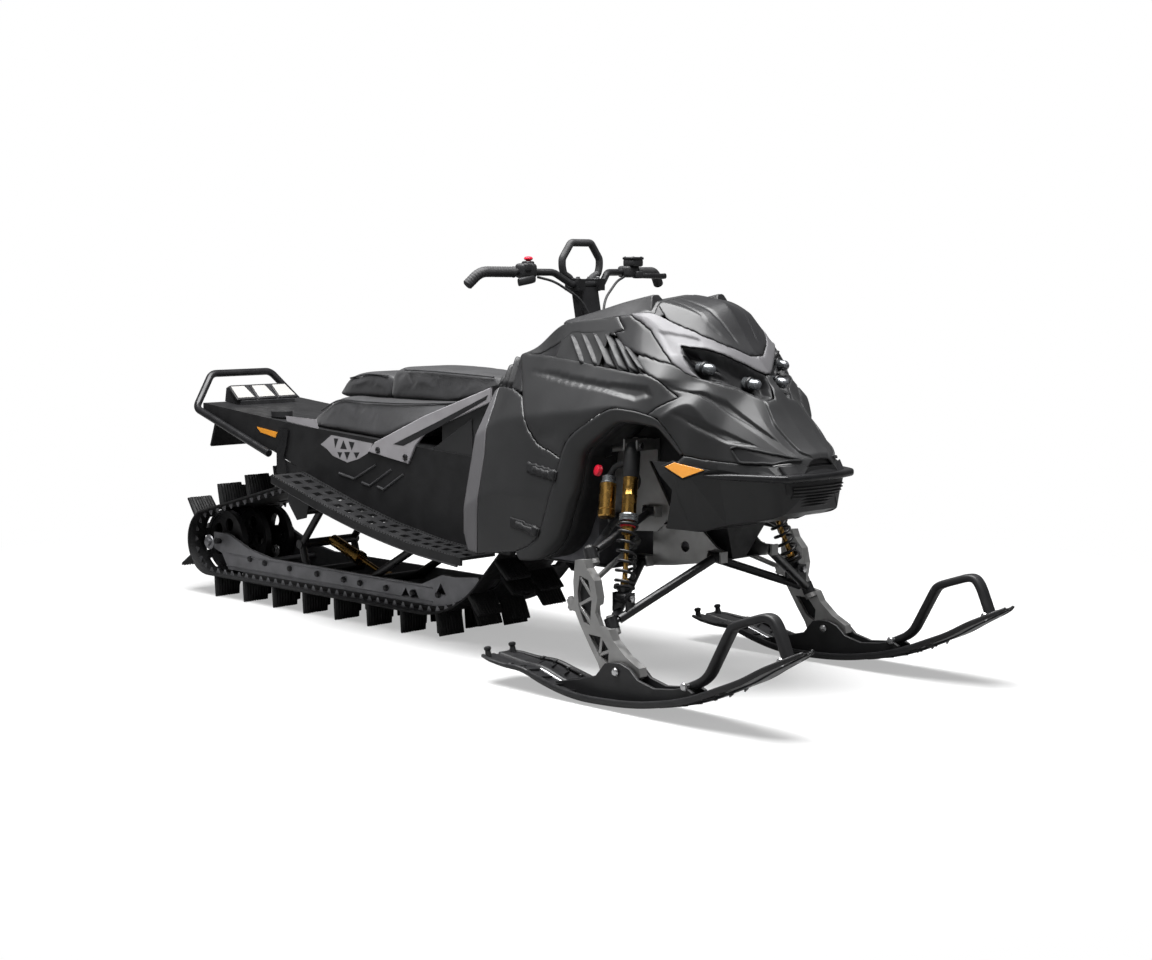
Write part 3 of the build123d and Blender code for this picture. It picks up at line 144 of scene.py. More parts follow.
def noise(tree, scale, detail, stretch=None):
    """Noise on object coordinates, scale in cycles per metre, optionally stretched along the axes."""
    coords = node(tree, "ShaderNodeTexCoord")
    made = node(tree, "ShaderNodeTexNoise", {"Scale": scale, "Detail": detail})
    if stretch:
        mapping = node(tree, "ShaderNodeMapping", {"Scale": stretch})
        link(tree, (coords, "Object", mapping, "Vector"), (mapping, "Vector", made, "Vector"))
    else:
        link(tree, (coords, "Object", made, "Vector"))
    return made


def finish(name, colour, rough=0.5, metal=0.0, vary=0.12, rough_vary=0.1, grain=900.0, bump=0.05,
           coat=0.0, stretch=None, mottle=14.0):
    """A worked surface: colour drifts by `vary`, roughness by `rough_vary`, with a fine moulded grain."""
    material = bpy.data.materials.new(name)
    material.use_nodes = True
    tree = material.node_tree
    shader = tree.nodes["Principled BSDF"]
    set_inputs(shader, {"Metallic": metal, "Coat Weight": coat, "Specular IOR Level": SHINE,
                        "Coat Roughness": COAT_ROUGH})
    ramp = node(tree, "ShaderNodeValToRGB")
    for stop, place, share in zip(ramp.color_ramp.elements, NOISE_MIDDLE, (1 - vary, 1 + vary)):
        stop.position = place
        stop.color = (*[min(1, c * share) for c in colour], 1)
    spread = node(tree, "ShaderNodeMapRange", {
        "To Min": max(0.02, rough - rough_vary), "To Max": min(1.0, rough + rough_vary),
        "From Min": NOISE_MIDDLE[0], "From Max": NOISE_MIDDLE[1]})
    relief = node(tree, "ShaderNodeBump", {"Strength": bump, "Distance": GRAIN_DEPTH})
    link(tree, (noise(tree, mottle, 5.0), "Fac", ramp, "Fac"), (ramp, "Color", shader, "Base Color"),
         (noise(tree, mottle * PATCH_SCALE, 6.0), "Fac", spread, "Value"), (spread, "Result", shader, "Roughness"),
         (noise(tree, grain, 3.0, stretch), "Fac", relief, "Height"), (relief, "Normal", shader, "Normal"))
    return material


def leather_grain(name, colour, **looks):
    """Seat cover: cell-shaped grain with soft creases and a faint sheen."""
    material = finish(name, colour, **looks)
    tree = material.node_tree
    shader = tree.nodes["Principled BSDF"]
    set_inputs(shader, {"Sheen Weight": 0.15})
    coords = node(tree, "ShaderNodeTexCoord")
    cells = node(tree, "ShaderNodeTexVoronoi", {"Scale": HIDE_CELLS}, feature="DISTANCE_TO_EDGE")
    relief = node(tree, "ShaderNodeBump", {"Strength": 0.35, "Distance": HIDE_DEPTH})
    link(tree, (coords, "Object", cells, "Vector"), (cells, "Distance", relief, "Height"),
         (relief, "Normal", shader, "Normal"))
    return material


def clear_lens(name, colour, see_through, rough=0.05):
    """Moulded lens: part of the light passes, with faint waves in the surface."""
    material = finish(name, colour, rough, rough_vary=0.03, vary=0.05, grain=160, coat=0.6)
    set_inputs(material.node_tree.nodes["Principled BSDF"], {"Transmission Weight": see_through})
    return material


FINISHES = {}

PLAIN = {
    "track_rubber": ((0.008, 0.008, 0.0085), dict(rough=0.62, vary=0.3, grain=600, bump=0.3, mottle=22)),
    "rail_alu": ((0.2, 0.2, 0.21), dict(rough=0.42, metal=0.8, stretch=(0.04, 1, 1), bump=0.1)),
    "slide_plastic": ((0.012, 0.012, 0.012), dict(vary=0.2)),
    "wheel_plastic": ((0.012, 0.012, 0.013), dict(rough=0.45, vary=0.25, bump=0.1)),
    "black_steel": ((0.012, 0.012, 0.013), dict(rough=0.34, metal=0.2, vary=0.2, grain=1400, bump=0.12, coat=0.15)),
    "shock_gold": ("gold", dict(rough=0.26, metal=1.0, vary=0.08, grain=1500, bump=0.03)),
    "tunnel_black": ((0.02, 0.02, 0.021), dict(rough=0.42, metal=0.4, vary=0.2, grain=500, bump=0.08)),
    "strut_grey": ((0.34, 0.33, 0.345), dict(rough=0.38, metal=0.3, vary=0.1)),
    "body_black": ("body", dict(rough=0.4, vary=0.1, rough_vary=0.05, grain=1100, coat=0.03, mottle=6)),
    "body_grey": ("grey", dict(rough=0.46, metal=0.2, vary=0.05, rough_vary=0.05, grain=1500, bump=0.02,
                               coat=0.04, mottle=6)),
    "visor_black": ((0.014, 0.014, 0.015), dict(rough=0.38, vary=0.1, rough_vary=0.05, bump=0.01, coat=0.1,
                                                mottle=6)),
    "trim_black": ((0.012, 0.012, 0.013), dict(vary=0.18, grain=1000, bump=0.14)),
    "cast_silver": ("silver", dict(rough=0.4, metal=0.85, vary=0.1, grain=650, bump=0.22)),
    "engine_metal": ((0.12, 0.12, 0.13), dict(metal=0.7, vary=0.2, grain=300, bump=0.3)),
    "ski_black": ((0.016, 0.016, 0.017), dict(rough=0.4, vary=0.15, rough_vary=0.08, grain=800, bump=0.08)),
    "grip_rubber": ((0.017, 0.017, 0.018), dict(rough=0.6, vary=0.2, grain=500, bump=0.3)),
    "runner_steel": ((0.4, 0.4, 0.41), dict(rough=0.35, metal=1.0, vary=0.1, stretch=(0.05, 1, 1), bump=0.1)),
    "cable_black": ((0.014, 0.014, 0.015), dict(vary=0.2, bump=0.1)),
    "red_switch": ((0.55, 0.01, 0.03), dict(rough=0.35, vary=0.1, coat=0.2)),
    "bolt_steel": ((0.55, 0.55, 0.56), dict(rough=0.28, metal=1.0, vary=0.08)),
    "lamp_core": ((0.22, 0.23, 0.24), dict(rough=0.22, metal=0.8, vary=0.05, grain=300, bump=0.02)),
    "seat_stitch": ((0.03, 0.03, 0.032), dict(rough=0.7, vary=0.2, bump=0.3)),
    "board_edge": ((0.06, 0.06, 0.063), dict(rough=0.4, metal=0.4, vary=0.15, bump=0.08)),
    "pad_pale": ((0.3, 0.295, 0.285), dict(vary=0.05, bump=0.03)),
    # Near black: the own black of meshes, beds, seams and cut-outs, and painted shade on panel edges, in vent and
    # slot openings, spindle windows, the strut slot and inside the arches
    "mesh_black": ((0.01, 0.01, 0.011), dict(rough=0.6, vary=0.2, bump=0.2)),
}


def make_finishes(look):
    """Every finish of the machine, under its name."""
    for name, (colour, looks) in PLAIN.items():
        colour = tuple(getattr(look, colour)) if isinstance(colour, str) else colour
        FINISHES[name] = finish(name, colour, **looks)
    FINISHES["seat_vinyl"] = leather_grain("seat_vinyl", (0.014, 0.014, 0.0155), rough=0.55, vary=0.25, grain=700,
                                           bump=0.1, mottle=9)
    FINISHES["lamp_glass"] = clear_lens("lamp_glass", (0.12, 0.125, 0.135), 0.35)
    FINISHES["reflector_amber"] = clear_lens("reflector_amber", tuple(look.amber), 0.25, rough=0.12)


# ---------------------------------------------------------------- surfaces


def metres(points):
    """Points in millimetres from the measuring mark, as metres from the middle of the machine."""
    out = np.asarray(points, float) * MM
    out[..., 0] += SHIFT
    return out


def grid_faces(nu, nv, wrap_u=False, wrap_v=False, start=0):
    """Quads of a grid whose point (i, j) has number start + i * nv + j."""
    i = np.arange(nu if wrap_u else nu - 1)[:, None]
    j = np.arange(nv if wrap_v else nv - 1)[None, :]
    i2, j2 = (i + 1) % nu, (j + 1) % nv
    a, b, c, d = i * nv + j, i * nv + j2, i2 * nv + j2, i2 * nv + j
    return (np.stack(np.broadcast_arrays(a, b, c, d), -1).reshape(-1, 4) + start)


def make_piece(name, points, quads, material, body, smooth=35.0, tris=()):
    """One mesh object in its finish, from points in millimetres, that rides on a body."""
    mesh = bpy.data.meshes.new(name)
    faces = [tuple(face) for face in [*np.asarray(quads).tolist(), *tris]]
    mesh.from_pydata(metres(points).reshape(-1, 3).tolist(), [], faces)
    mesh.validate()
    mesh.polygons.foreach_set("use_smooth", np.ones(len(mesh.polygons), bool))
    mesh.set_sharp_from_angle(angle=np.radians(smooth))
    mesh.materials.append(FINISHES[material])
    piece = bpy.data.objects.new(name, mesh)
    bpy.context.scene.collection.objects.link(piece)
    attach(piece, body)
    return piece


def done(piece, *nodes, slot=None):
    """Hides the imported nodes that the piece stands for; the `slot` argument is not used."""
    if nodes:
        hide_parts(*nodes)
    return piece


def weld(piece, distance=1e-5):
    """Merges doubles, nearer than a distance in metres, and turns the faces outwards."""
    work = bmesh.new()
    work.from_mesh(piece.data)
    bmesh.ops.remove_doubles(work, verts=work.verts, dist=distance)
    bmesh.ops.dissolve_degenerate(work, dist=distance, edges=work.edges)
    bmesh.ops.recalc_face_normals(work, faces=work.faces)
    work.to_mesh(piece.data)
    work.free()
    return piece


def add_wall(piece, thickness, offset=-1.0, rim=None):
    """Gives a sheet its wall, inwards from the drawn face; `rim` names the finish of the cut edges, which body
    panels get near black as painted shade in their seams.
    """
    wall = piece.modifiers.new("wall", "SOLIDIFY")
    wall.thickness = thickness * MM
    wall.offset = offset
    wall.use_even_offset = False
    if rim:
        piece.data.materials.append(FINISHES[rim])
        wall.material_offset_rim = 1
    return piece


def round_edges(piece, width, segments=2, angle=35.0):
    """Rounds the sharp edges."""
    bevel = piece.modifiers.new("round", "BEVEL")
    bevel.width = width * MM
    bevel.segments = segments
    bevel.limit_method = "ANGLE"
    bevel.angle_limit = np.radians(angle)
    bevel.harden_normals = False
    return piece


def curve_through(points, count):
    """A smooth line through points: centripetal-like cubic pieces joined with equal tangents."""
    p = np.asarray(points, float)
    ext = np.vstack([2 * p[0] - p[1], p, 2 * p[-1] - p[-2]])
    t = np.linspace(0, len(p) - 1 - 1e-9, count)
    k = t.astype(int)
    f = (t - k)[:, None]
    a, b, c, d = ext[k], ext[k + 1], ext[k + 2], ext[k + 3]
    return 0.5 * ((2 * b) + (c - a) * f + (2 * a - 5 * b + 4 * c - d) * f ** 2 + (3 * b - a - 3 * c + d) * f ** 3)


def rounded_line(points, radius, count=8):
    """A line of straight runs whose corners are quadratic arcs that start a radius before each corner."""
    p = np.asarray(points, float)
    out = [p[:1]]
    t = np.linspace(0, 1, count)[:, None]
    for before, here, after in zip(p[:-2], p[1:-1], p[2:]):
        back, on = before - here, after - here
        r1 = min(radius, 0.49 * np.linalg.norm(back))
        r2 = min(radius, 0.49 * np.linalg.norm(on))
        start = here + back / np.linalg.norm(back) * r1
        end = here + on / np.linalg.norm(on) * r2
        out.append((1 - t) ** 2 * start + 2 * t * (1 - t) * here + t ** 2 * end)
    out.append(p[-1:])
    return np.vstack(out)


def swept(path, profile, up=UP, scale=1.0):
    """Profile (a, b) carried along a path: point = path + a * side + b * lift, scaled along the way. The side
    stands square to the path's direction and to `up`, and the lift to both."""
    way = np.gradient(path, axis=0)
    way /= np.linalg.norm(way, axis=1)[:, None]
    side = np.cross(way, np.asarray(up, float))
    side /= np.maximum(np.linalg.norm(side, axis=1), 1e-9)[:, None]
    lift = np.cross(side, way)
    profile = np.asarray(profile, float)
    size = np.broadcast_to(np.asarray(scale, float), len(path))[:, None, None]
    return path[:, None] + size * (profile[:, :1] * side[:, None] + profile[:, 1:] * lift[:, None])


def ring(radius, sides=16, squash=1.0):
    """Points of a circle, or of an ellipse whose height is `squash` times its width."""
    a = np.linspace(0, 2 * np.pi, sides, endpoint=False)
    return np.stack([radius * np.cos(a), radius * squash * np.sin(a)], -1)


def soft_ring(sides, power, wide, high, lift_power=None):
    """Points of a superellipse: wide times cos^power across and high times sin^lift_power up, signs kept."""
    round_ring = ring(1.0, sides)
    powers = np.array([power, lift_power or power])
    return np.sign(round_ring) * np.abs(round_ring) ** powers * (wide, high)


def closed_forms(name, grids, material, body=CHASSIS, smooth=50.0):
    """One piece of grids (along, round the profile, 3), closed round the profile, with fans over their ends."""
    points, quads, tris, start = [], [], [], 0
    for grid in grids:
        nu, nv = grid.shape[:2]
        points += [grid.reshape(-1, 3), grid[:1].mean(1), grid[-1:].mean(1)]
        quads.append(grid_faces(nu, nv, wrap_v=True, start=start))
        j = np.arange(nv)
        j2 = (j + 1) % nv
        last, hubs = start + (nu - 1) * nv, start + nu * nv
        tris += np.stack([j2 + start, j + start, np.full(nv, hubs)], -1).tolist()
        tris += np.stack([last + j, last + j2, np.full(nv, hubs + 1)], -1).tolist()
        start = hubs + 2
    return weld(make_piece(name, np.vstack(points), np.vstack(quads), material, body, smooth, tris))


def tube(name, paths, radius, material, body=CHASSIS, sides=14, up=UP, squash=1.0):
    """Round tubes along paths, closed at their ends: a circle carried along each path."""
    profile = ring(radius, sides, squash)
    return closed_forms(name, [swept(np.asarray(p, float), profile, up) for p in paths], material, body, 40)


def turned(name, centres, axis, outline, material, body=CHASSIS, sides=32):
    """Turned pieces: an outline of (distance along the axis, radius) spun about an axis at each centre."""
    axis = np.asarray(axis, float) / np.linalg.norm(axis)
    side = np.cross(axis, (1.0, 0.0, 0.0) if abs(axis[2]) > 0.95 else UP)
    side /= np.linalg.norm(side)
    lift = np.cross(side, axis)
    spin = ring(1.0, sides)
    spun = np.array([far * axis + radius * (spin[:, :1] * side + spin[:, 1:] * lift) for far, radius in outline])
    return closed_forms(name, [np.asarray(c, float) + spun for c in centres], material, body, 30)


def plate(name, outlines, direction, thickness, material, body=CHASSIS):
    """Flat plates: closed outlines in space, given a thickness along a direction."""
    direction = np.asarray(direction, float) / np.linalg.norm(direction)
    points, quads, ngons, start = [], [], [], 0
    for outline in outlines:
        low = np.asarray(outline, float)
        n = len(low)
        j = np.arange(n)
        j2 = (j + 1) % n
        quads.append(np.stack([j, j2, j2 + n, j + n], -1) + start)
        ngons += [list(range(start + n - 1, start - 1, -1)), list(range(start + n, start + 2 * n))]
        points += [low, low + direction * thickness]
        start += 2 * n
    return weld(make_piece(name, np.vstack(points), np.vstack(quads), material, body, 30, ngons))


def both(places):
    """Places of the left side and their mirror images, the right side's first."""
    return [np.asarray(place, float) * (1.0, sign, 1.0) for _, sign in SIDES for place in places]


# ---------------------------------------------------------------- bodywork


class BodySettings(bpy.types.PropertyGroup):
    """Sizes of the bodywork."""

    wall: FloatProperty(name="Panel wall", description="Thickness of the moulded panels", default=0.0045,
                        unit="LENGTH")
    soften: FloatProperty(name="Crease", description="Half width of the rounded creases", default=0.010,
                          unit="LENGTH")


# Half outlines of the body in millimetres: place along the machine, then (half width, height)
# from the top centre out and down
STATIONS = [
    (150, [(0, 872), (110, 868), (165, 858), (215, 835), (300, 700), (350, 480), (350, 325)]),
    (300, [(0, 985), (110, 983), (170, 975), (222, 958), (318, 760), (356, 540), (354, 352)]),
    (456, [(0, 1062), (130, 1060), (198, 1052), (245, 950), (335, 780), (362, 540), (352, 312)]),
    (640, [(0, 1082), (140, 1080), (203, 1072), (270, 934), (340, 800), (358, 560), (345, 288)]),
    (760, [(0, 1138), (150, 1120), (206, 1078), (283, 922), (335, 815), (345, 600), (330, 290)]),
    (900, [(0, 1118), (120, 1085), (205, 1005), (290, 905), (322, 780), (312, 620), (262, 475)]),
    (1000, [(0, 1003), (70, 990), (155, 960), (200, 890), (272, 835), (290, 660), (215, 468)]),
    (1080, [(0, 905), (60, 890), (95, 860), (170, 800), (215, 745), (229, 655), (185, 490)]),
    (1160, [(0, 780), (75, 775), (105, 768), (140, 745), (172, 700), (188, 640), (150, 505)]),
    (1235, [(0, 705), (60, 700), (80, 697), (95, 690), (112, 672), (148, 635), (120, 530)]),
    (1268, [(0, 684), (25, 682), (35, 680), (44, 674), (55, 664), (80, 640), (60, 590)]),
]
ACROSS = 241  # points from the top centre to the lower edge
MARGIN = 24  # points added past each end of an outline while it is averaged


def monotone_curve(x, y, at):
    """Cubic pieces through (x, y) whose slopes are harmonic means, so that nothing overshoots."""
    x, y = np.asarray(x, float), np.asarray(y, float)
    h = np.diff(x)
    d = np.diff(y, axis=0) / h[:, None]
    both = d[:-1] * d[1:]
    w1, w2 = (2 * h[1:] + h[:-1])[:, None], (h[1:] + 2 * h[:-1])[:, None]
    with np.errstate(divide="ignore", invalid="ignore"):
        mid = np.where(both > 0, (w1 + w2) / (w1 / d[:-1] + w2 / d[1:]), 0.0)
    m = np.vstack([d[:1], mid, d[-1:]])
    k = np.clip(np.searchsorted(x, at, side="right") - 1, 0, len(x) - 2)
    t = ((at - x[k]) / h[k])[:, None]
    a, b = y[k], y[k + 1]
    step = h[k][:, None]
    return ((1 + 2 * t) * (1 - t) ** 2 * a + t * (1 - t) ** 2 * step * m[k] + t ** 2 * (3 - 2 * t) * b
            + t ** 2 * (t - 1) * step * m[k + 1])


def body_skin(soften_mm):
    """Dense body surface: corners run along the machine on monotone cubics, the outline between them
    is straight and then averaged over a window of `soften_mm`, which rounds each crease."""
    at = np.concatenate([np.linspace(150, 1235, 218), np.linspace(1238, 1268, 11)])
    x = np.array([s[0] for s in STATIONS], float)
    corners = np.array([s[1] for s in STATIONS], float)
    n = corners.shape[1]
    smooth = monotone_curve(x, corners.reshape(len(x), -1), at).reshape(len(at), n, 2)
    v = np.linspace(0, n - 1, ACROSS)
    k = np.minimum(v.astype(int), n - 2)
    f = (v - k)[None, :, None]
    line = smooth[:, k] * (1 - f) + smooth[:, k + 1] * f
    mirror = line[:, 1:MARGIN + 1][:, ::-1] * np.array([-1.0, 1.0])
    tail = 2 * line[:, -1:] - line[:, -MARGIN - 1:-1][:, ::-1]
    long = np.concatenate([mirror, line, tail], 1)
    step = np.linalg.norm(np.diff(smooth, axis=1), axis=2).mean() * (n - 1) / (ACROSS - 1)
    half = int(np.clip(round(soften_mm / step), 1, MARGIN - 2))
    window = np.hanning(2 * half + 3)[1:-1]
    window /= window.sum()
    out = np.zeros_like(line)
    for offset, weight in zip(range(-half, half + 1), window):
        out += weight * long[:, MARGIN + offset:MARGIN + offset + ACROSS]
    out[:, 0, 0] = 0.0
    return at, out


# Seams of the panels on the right side, each a list of (along, out to the side, up) in millimetres
SEAM_CONSOLE = [(150, 120, 866), (200, 190, 932), (264, 201, 947), (363, 229, 957), (471, 223, 1002)]
SEAM_VENT_TOP = [(471, 223, 1002), (495, 216, 1022), (627, 226, 1024), (690, 231, 1021), (738, 251, 986),
                 (798, 268, 952), (855, 285, 917)]
SEAM_VENT_LOW = [(855, 285, 917), (819, 287, 916), (705, 278, 928), (570, 260, 944), (471, 223, 1002)]
SEAM_SIDE_TOP = [(264, 201, 947), (363, 229, 957), (465, 245, 952), (570, 260, 944), (705, 278, 928),
                 (819, 287, 916), (855, 285, 917), (906, 290, 901), (969, 266, 852)]
SEAM_ARCH = [(891, 318, 803), (837, 325, 813), (777, 333, 817), (744, 336, 808), (681, 342, 771),
             (624, 345, 738), (591, 347, 704), (576, 350, 661)]
SEAM_INSET_REAR = [(576, 350, 661), (516, 348, 683), (471, 345, 697), (423, 337, 741), (357, 294, 830),
                   (312, 254, 894), (264, 201, 947)]
SEAM_LOWER_FRONT = [(576, 350, 661), (558, 357, 590), (504, 357, 446), (480, 356, 412), (441, 355, 383),
                    (384, 354, 362)]
SEAM_LOWER_EDGE = [(384, 354, 362), (300, 354, 352), (214, 351, 340)]
SEAM_GREY = [(214, 351, 340), (216, 352, 428), (222, 328, 640), (200, 263, 796), (172, 200, 872)]
SEAM_BAND_OUT = [(717, 198, 1081), (816, 218, 1037), (855, 228, 999), (924, 244, 944), (957, 229, 917),
                 (987, 202, 904)]
SEAM_LAMP_TOP = [(969, 211, 923), (948, 215, 951), (918, 204, 995), (945, 186, 990), (969, 159, 985),
                 (999, 124, 972), (1026, 87, 952), (1062, 33, 921), (1073, 12, 913)]
SEAM_LAMP_LOW = [(1073, 12, 913), (1095, 16, 880), (1116, 28, 844), (1116, 56, 839), (1089, 86, 857),
                 (1062, 112, 874), (1026, 169, 892), (987, 205, 906), (969, 211, 923)]
SEAM_VISOR = [(1035, 0, 961), (1029, 29, 963), (993, 89, 991), (945, 141, 1021), (897, 165, 1044),
              (843, 178, 1067), (790, 160, 1108)]
SEAM_HOOD_LOW = [(891, 318, 803), (927, 312, 792), (966, 296, 740), (1002, 286, 691), (1059, 242, 679),
                 (1122, 202, 672), (1158, 182, 669), (1212, 144, 667), (1268, 54, 667)]
SEAM_DARK_LOW = [(924, 244, 944), (880, 256, 952), (804, 258, 969), (738, 251, 986)]
SEAM_HORN_LOW = [(414, 176, 1052), (561, 200, 1062), (717, 198, 1081), (801, 185, 1084)]


def inside_line(points, line):
    """Whether each point lies in a closed line: it crosses an odd number of edges on its way out."""
    x, y = points[..., 0], points[..., 1]
    crossed = np.zeros(x.shape, bool)
    for (x0, y0), (x1, y1) in zip(line, np.roll(line, -1, axis=0)):
        if y0 != y1:
            crossed ^= ((y0 > y) != (y1 > y)) & (x < x0 + (y - y0) * (x1 - x0) / (y1 - y0))
    return crossed


def nearest_on_line(points, line, closed=True):
    """Nearest place on a line of straight runs, and the distance to it."""
    a = line if closed else line[:-1]
    b = np.roll(line, -1, axis=0) if closed else line[1:]
    best = np.full(len(points), np.inf)
    place = np.zeros_like(points)
    for p, q in zip(a, b):
        run = q - p
        t = np.clip((points - p) @ run / max(run @ run, 1e-9), 0, 1)[:, None]
        here = p + t * run
        gap = np.linalg.norm(points - here, axis=1)
        near = gap < best
        best[near] = gap[near]
        place[near] = here[near]
    return place, best


def ease(t):
    """Smooth step from 0 to 1."""
    t = np.clip(t, 0, 1)
    return t * t * (3 - 2 * t)


class BodySheet:
    """The body skin as a fine grid over (x, share), from which panels are cut along their seams."""

    DOWN = 1000.0  # one share of the way down the outline, in the millimetres used for distances on the sheet
    RIM = 7.0  # how far from a seam a panel's edge starts to drop
    PROBE = 1.5  # how far from a seam its inner side is felt for

    def __init__(self, soften_mm, step=5.0, across=205):
        self.skin_x, self.skin = body_skin(soften_mm)
        self.x = np.append(np.arange(150.0, 1268.0, step), 1268.0)
        self.share = np.linspace(0, 1, across)
        rows = self.rows(self.x)
        pos = self.share * (ACROSS - 1)
        k = np.minimum(pos.astype(int), ACROSS - 2)
        f = (pos - k)[None, :, None]
        yz = rows[:, k] * (1 - f) + rows[:, k + 1] * f
        self.place = np.concatenate([np.broadcast_to(self.x[:, None, None], (*yz.shape[:2], 1)), yz], -1)
        normal = np.cross(np.gradient(self.place, axis=1), np.gradient(self.place, axis=0))
        normal /= np.maximum(np.linalg.norm(normal, axis=2), 1e-9)[..., None]
        self.normal = normal * np.sign(normal[len(self.x) // 2, across // 2, 1])
        self.normal[:, 0, 1] = 0.0

    def rows(self, x):
        """The outlines at the given places, each ACROSS points of (half width, height)."""
        k = np.clip(np.searchsorted(self.skin_x, x, side="right") - 1, 0, len(self.skin_x) - 2)
        f = np.clip((x - self.skin_x[k]) / (self.skin_x[k + 1] - self.skin_x[k]), 0, 1)[:, None, None]
        return self.skin[k] * (1 - f) + self.skin[k + 1] * f

    def read(self, field, x, share):
        """Bilinear reading of a field of the sheet."""
        i = np.clip(np.searchsorted(self.x, x, side="right") - 1, 0, len(self.x) - 2)
        fx = np.clip((x - self.x[i]) / (self.x[i + 1] - self.x[i]), 0, 1)[:, None]
        pos = np.clip(share, 0, 1) * (len(self.share) - 1)
        j = np.minimum(pos.astype(int), len(self.share) - 2)
        fs = (pos - j)[:, None]
        low = field[i, j] * (1 - fs) + field[i, j + 1] * fs
        high = field[i + 1, j] * (1 - fs) + field[i + 1, j + 1] * fs
        return low * (1 - fx) + high * fx

    def at(self, flat, lift=0.0):
        """Places in space of points (x, share in mm) on the sheet, lifted out along its normal."""
        x, share = flat[:, 0], flat[:, 1] / self.DOWN
        return self.read(self.place, x, share) + lift * self.read(self.normal, x, share)

    def on_sheet(self, corners, closed=True):
        """Corners in space as (x, share in mm) on the sheet, with points every few millimetres."""
        p = np.asarray(corners, float)
        if closed:
            p = np.vstack([p, p[:1]])
        runs = []
        for a, b in zip(p[:-1], p[1:]):
            count = max(2, int(np.linalg.norm(b - a) / 6))
            t = np.linspace(0, 1, count, endpoint=False)[:, None]
            runs.append(a * (1 - t) + b * t)
        if not closed:
            runs.append(p[-1:])
        line = np.vstack(runs)
        rows = self.rows(line[:, 0])
        off = (rows[..., 0] - line[:, None, 1]) ** 2 + (rows[..., 1] - line[:, None, 2]) ** 2
        share = off.argmin(axis=1) / (ACROSS - 1)
        share[line[:, 1] <= 0.5] = -0.03  # past the centre line
        share[line[:, 2] < 0] = 1.03  # past the lower edge
        return np.stack([line[:, 0], share * self.DOWN], -1)

    def cut(self, corners, gap=2.0, drop=1.6, lift=0.0, relief=()):
        """Panel between seams: vertices of the kept cells next to a seam move onto it. Returns points in
        millimetres on the left side, and its quads."""
        line = self.on_sheet(corners)
        nu, nv = len(self.x), len(self.share)
        x, v = np.meshgrid(self.x, self.share * self.DOWN, indexing="ij")
        flat = np.stack([x, v], -1).reshape(-1, 2)
        quads = grid_faces(nu, nv)
        kept = inside_line(flat[quads].mean(axis=1), line)
        use, dropped = np.zeros(nu * nv, bool), np.zeros(nu * nv, bool)
        use[quads[kept].ravel()] = True
        dropped[quads[~kept].ravel()] = True
        rim = np.where(use & dropped)[0]
        place, _ = nearest_on_line(flat[rim], line)
        flat[rim] = place + self.inward(place, line) * gap / 2
        flat[rim[rim % nv == 0], 1] = 0.0
        number = np.cumsum(use) - 1
        quads = number[quads[kept]]
        flat = flat[use]
        _, reach = nearest_on_line(flat, line)
        reach[flat[:, 1] < 6] = 99.0  # no dropped edge on the centre line
        height = lift - drop * (1 - ease(reach / self.RIM))
        for kind, shape, width, rise in relief:
            edge = self.on_sheet(shape, closed=kind == "area")
            _, far = nearest_on_line(flat, edge, closed=kind == "area")
            if kind == "groove":
                height = height + rise * np.exp(-(far / width) ** 2)
            else:
                height = height + rise * ease(far / width) * inside_line(flat, edge)
        return self.at(flat, height[:, None]), quads

    def inward(self, places, line):
        """Unit directions from the line into the area that it encloses."""
        total = np.zeros_like(places)
        for angle in np.linspace(0, 2 * np.pi, 12, endpoint=False):
            way = np.array([np.cos(angle), np.sin(angle)])
            total += inside_line(places + self.PROBE * way, line)[:, None] * way
        return total / np.maximum(np.linalg.norm(total, axis=1), 1e-6)[:, None]

    def follow(self, corners, lift=0.0):
        """Points on the body along a seam, in millimetres on the left side."""
        return self.at(self.on_sheet(corners, closed=False), lift)


SHEET = []


def body_sheet():
    """The sheet of this run, made once."""
    if not SHEET:
        SHEET.append(BodySheet(bpy.context.scene.snow_body.soften / MM))
    return SHEET[0]


def body_panel(name, corners, material, *nodes, joined=False, **cut):
    """Panels cut from the body skin: one on each side, or one joined across the centre line."""
    points, quads = body_sheet().cut(corners, **cut)
    for side, sign in (("", -1),) if joined else SIDES:
        ending = f"_{side}" if side else ""
        turn, faces = points * (1.0, sign, 1.0), quads
        if joined:
            turn = np.vstack([turn, points])
            faces = np.vstack([quads, quads[:, ::-1] + len(points)])
        piece = weld(make_piece(name + ending, turn, faces, material, CHASSIS, 60), 2e-4)
        # The cut edges of each panel wall are near black: painted shade in the seams, hiding the light that the
        # edges catch.
        add_wall(piece, bpy.context.scene.snow_body.wall / MM, rim="mesh_black")
        done(piece, *[packed + ending for packed in nodes])


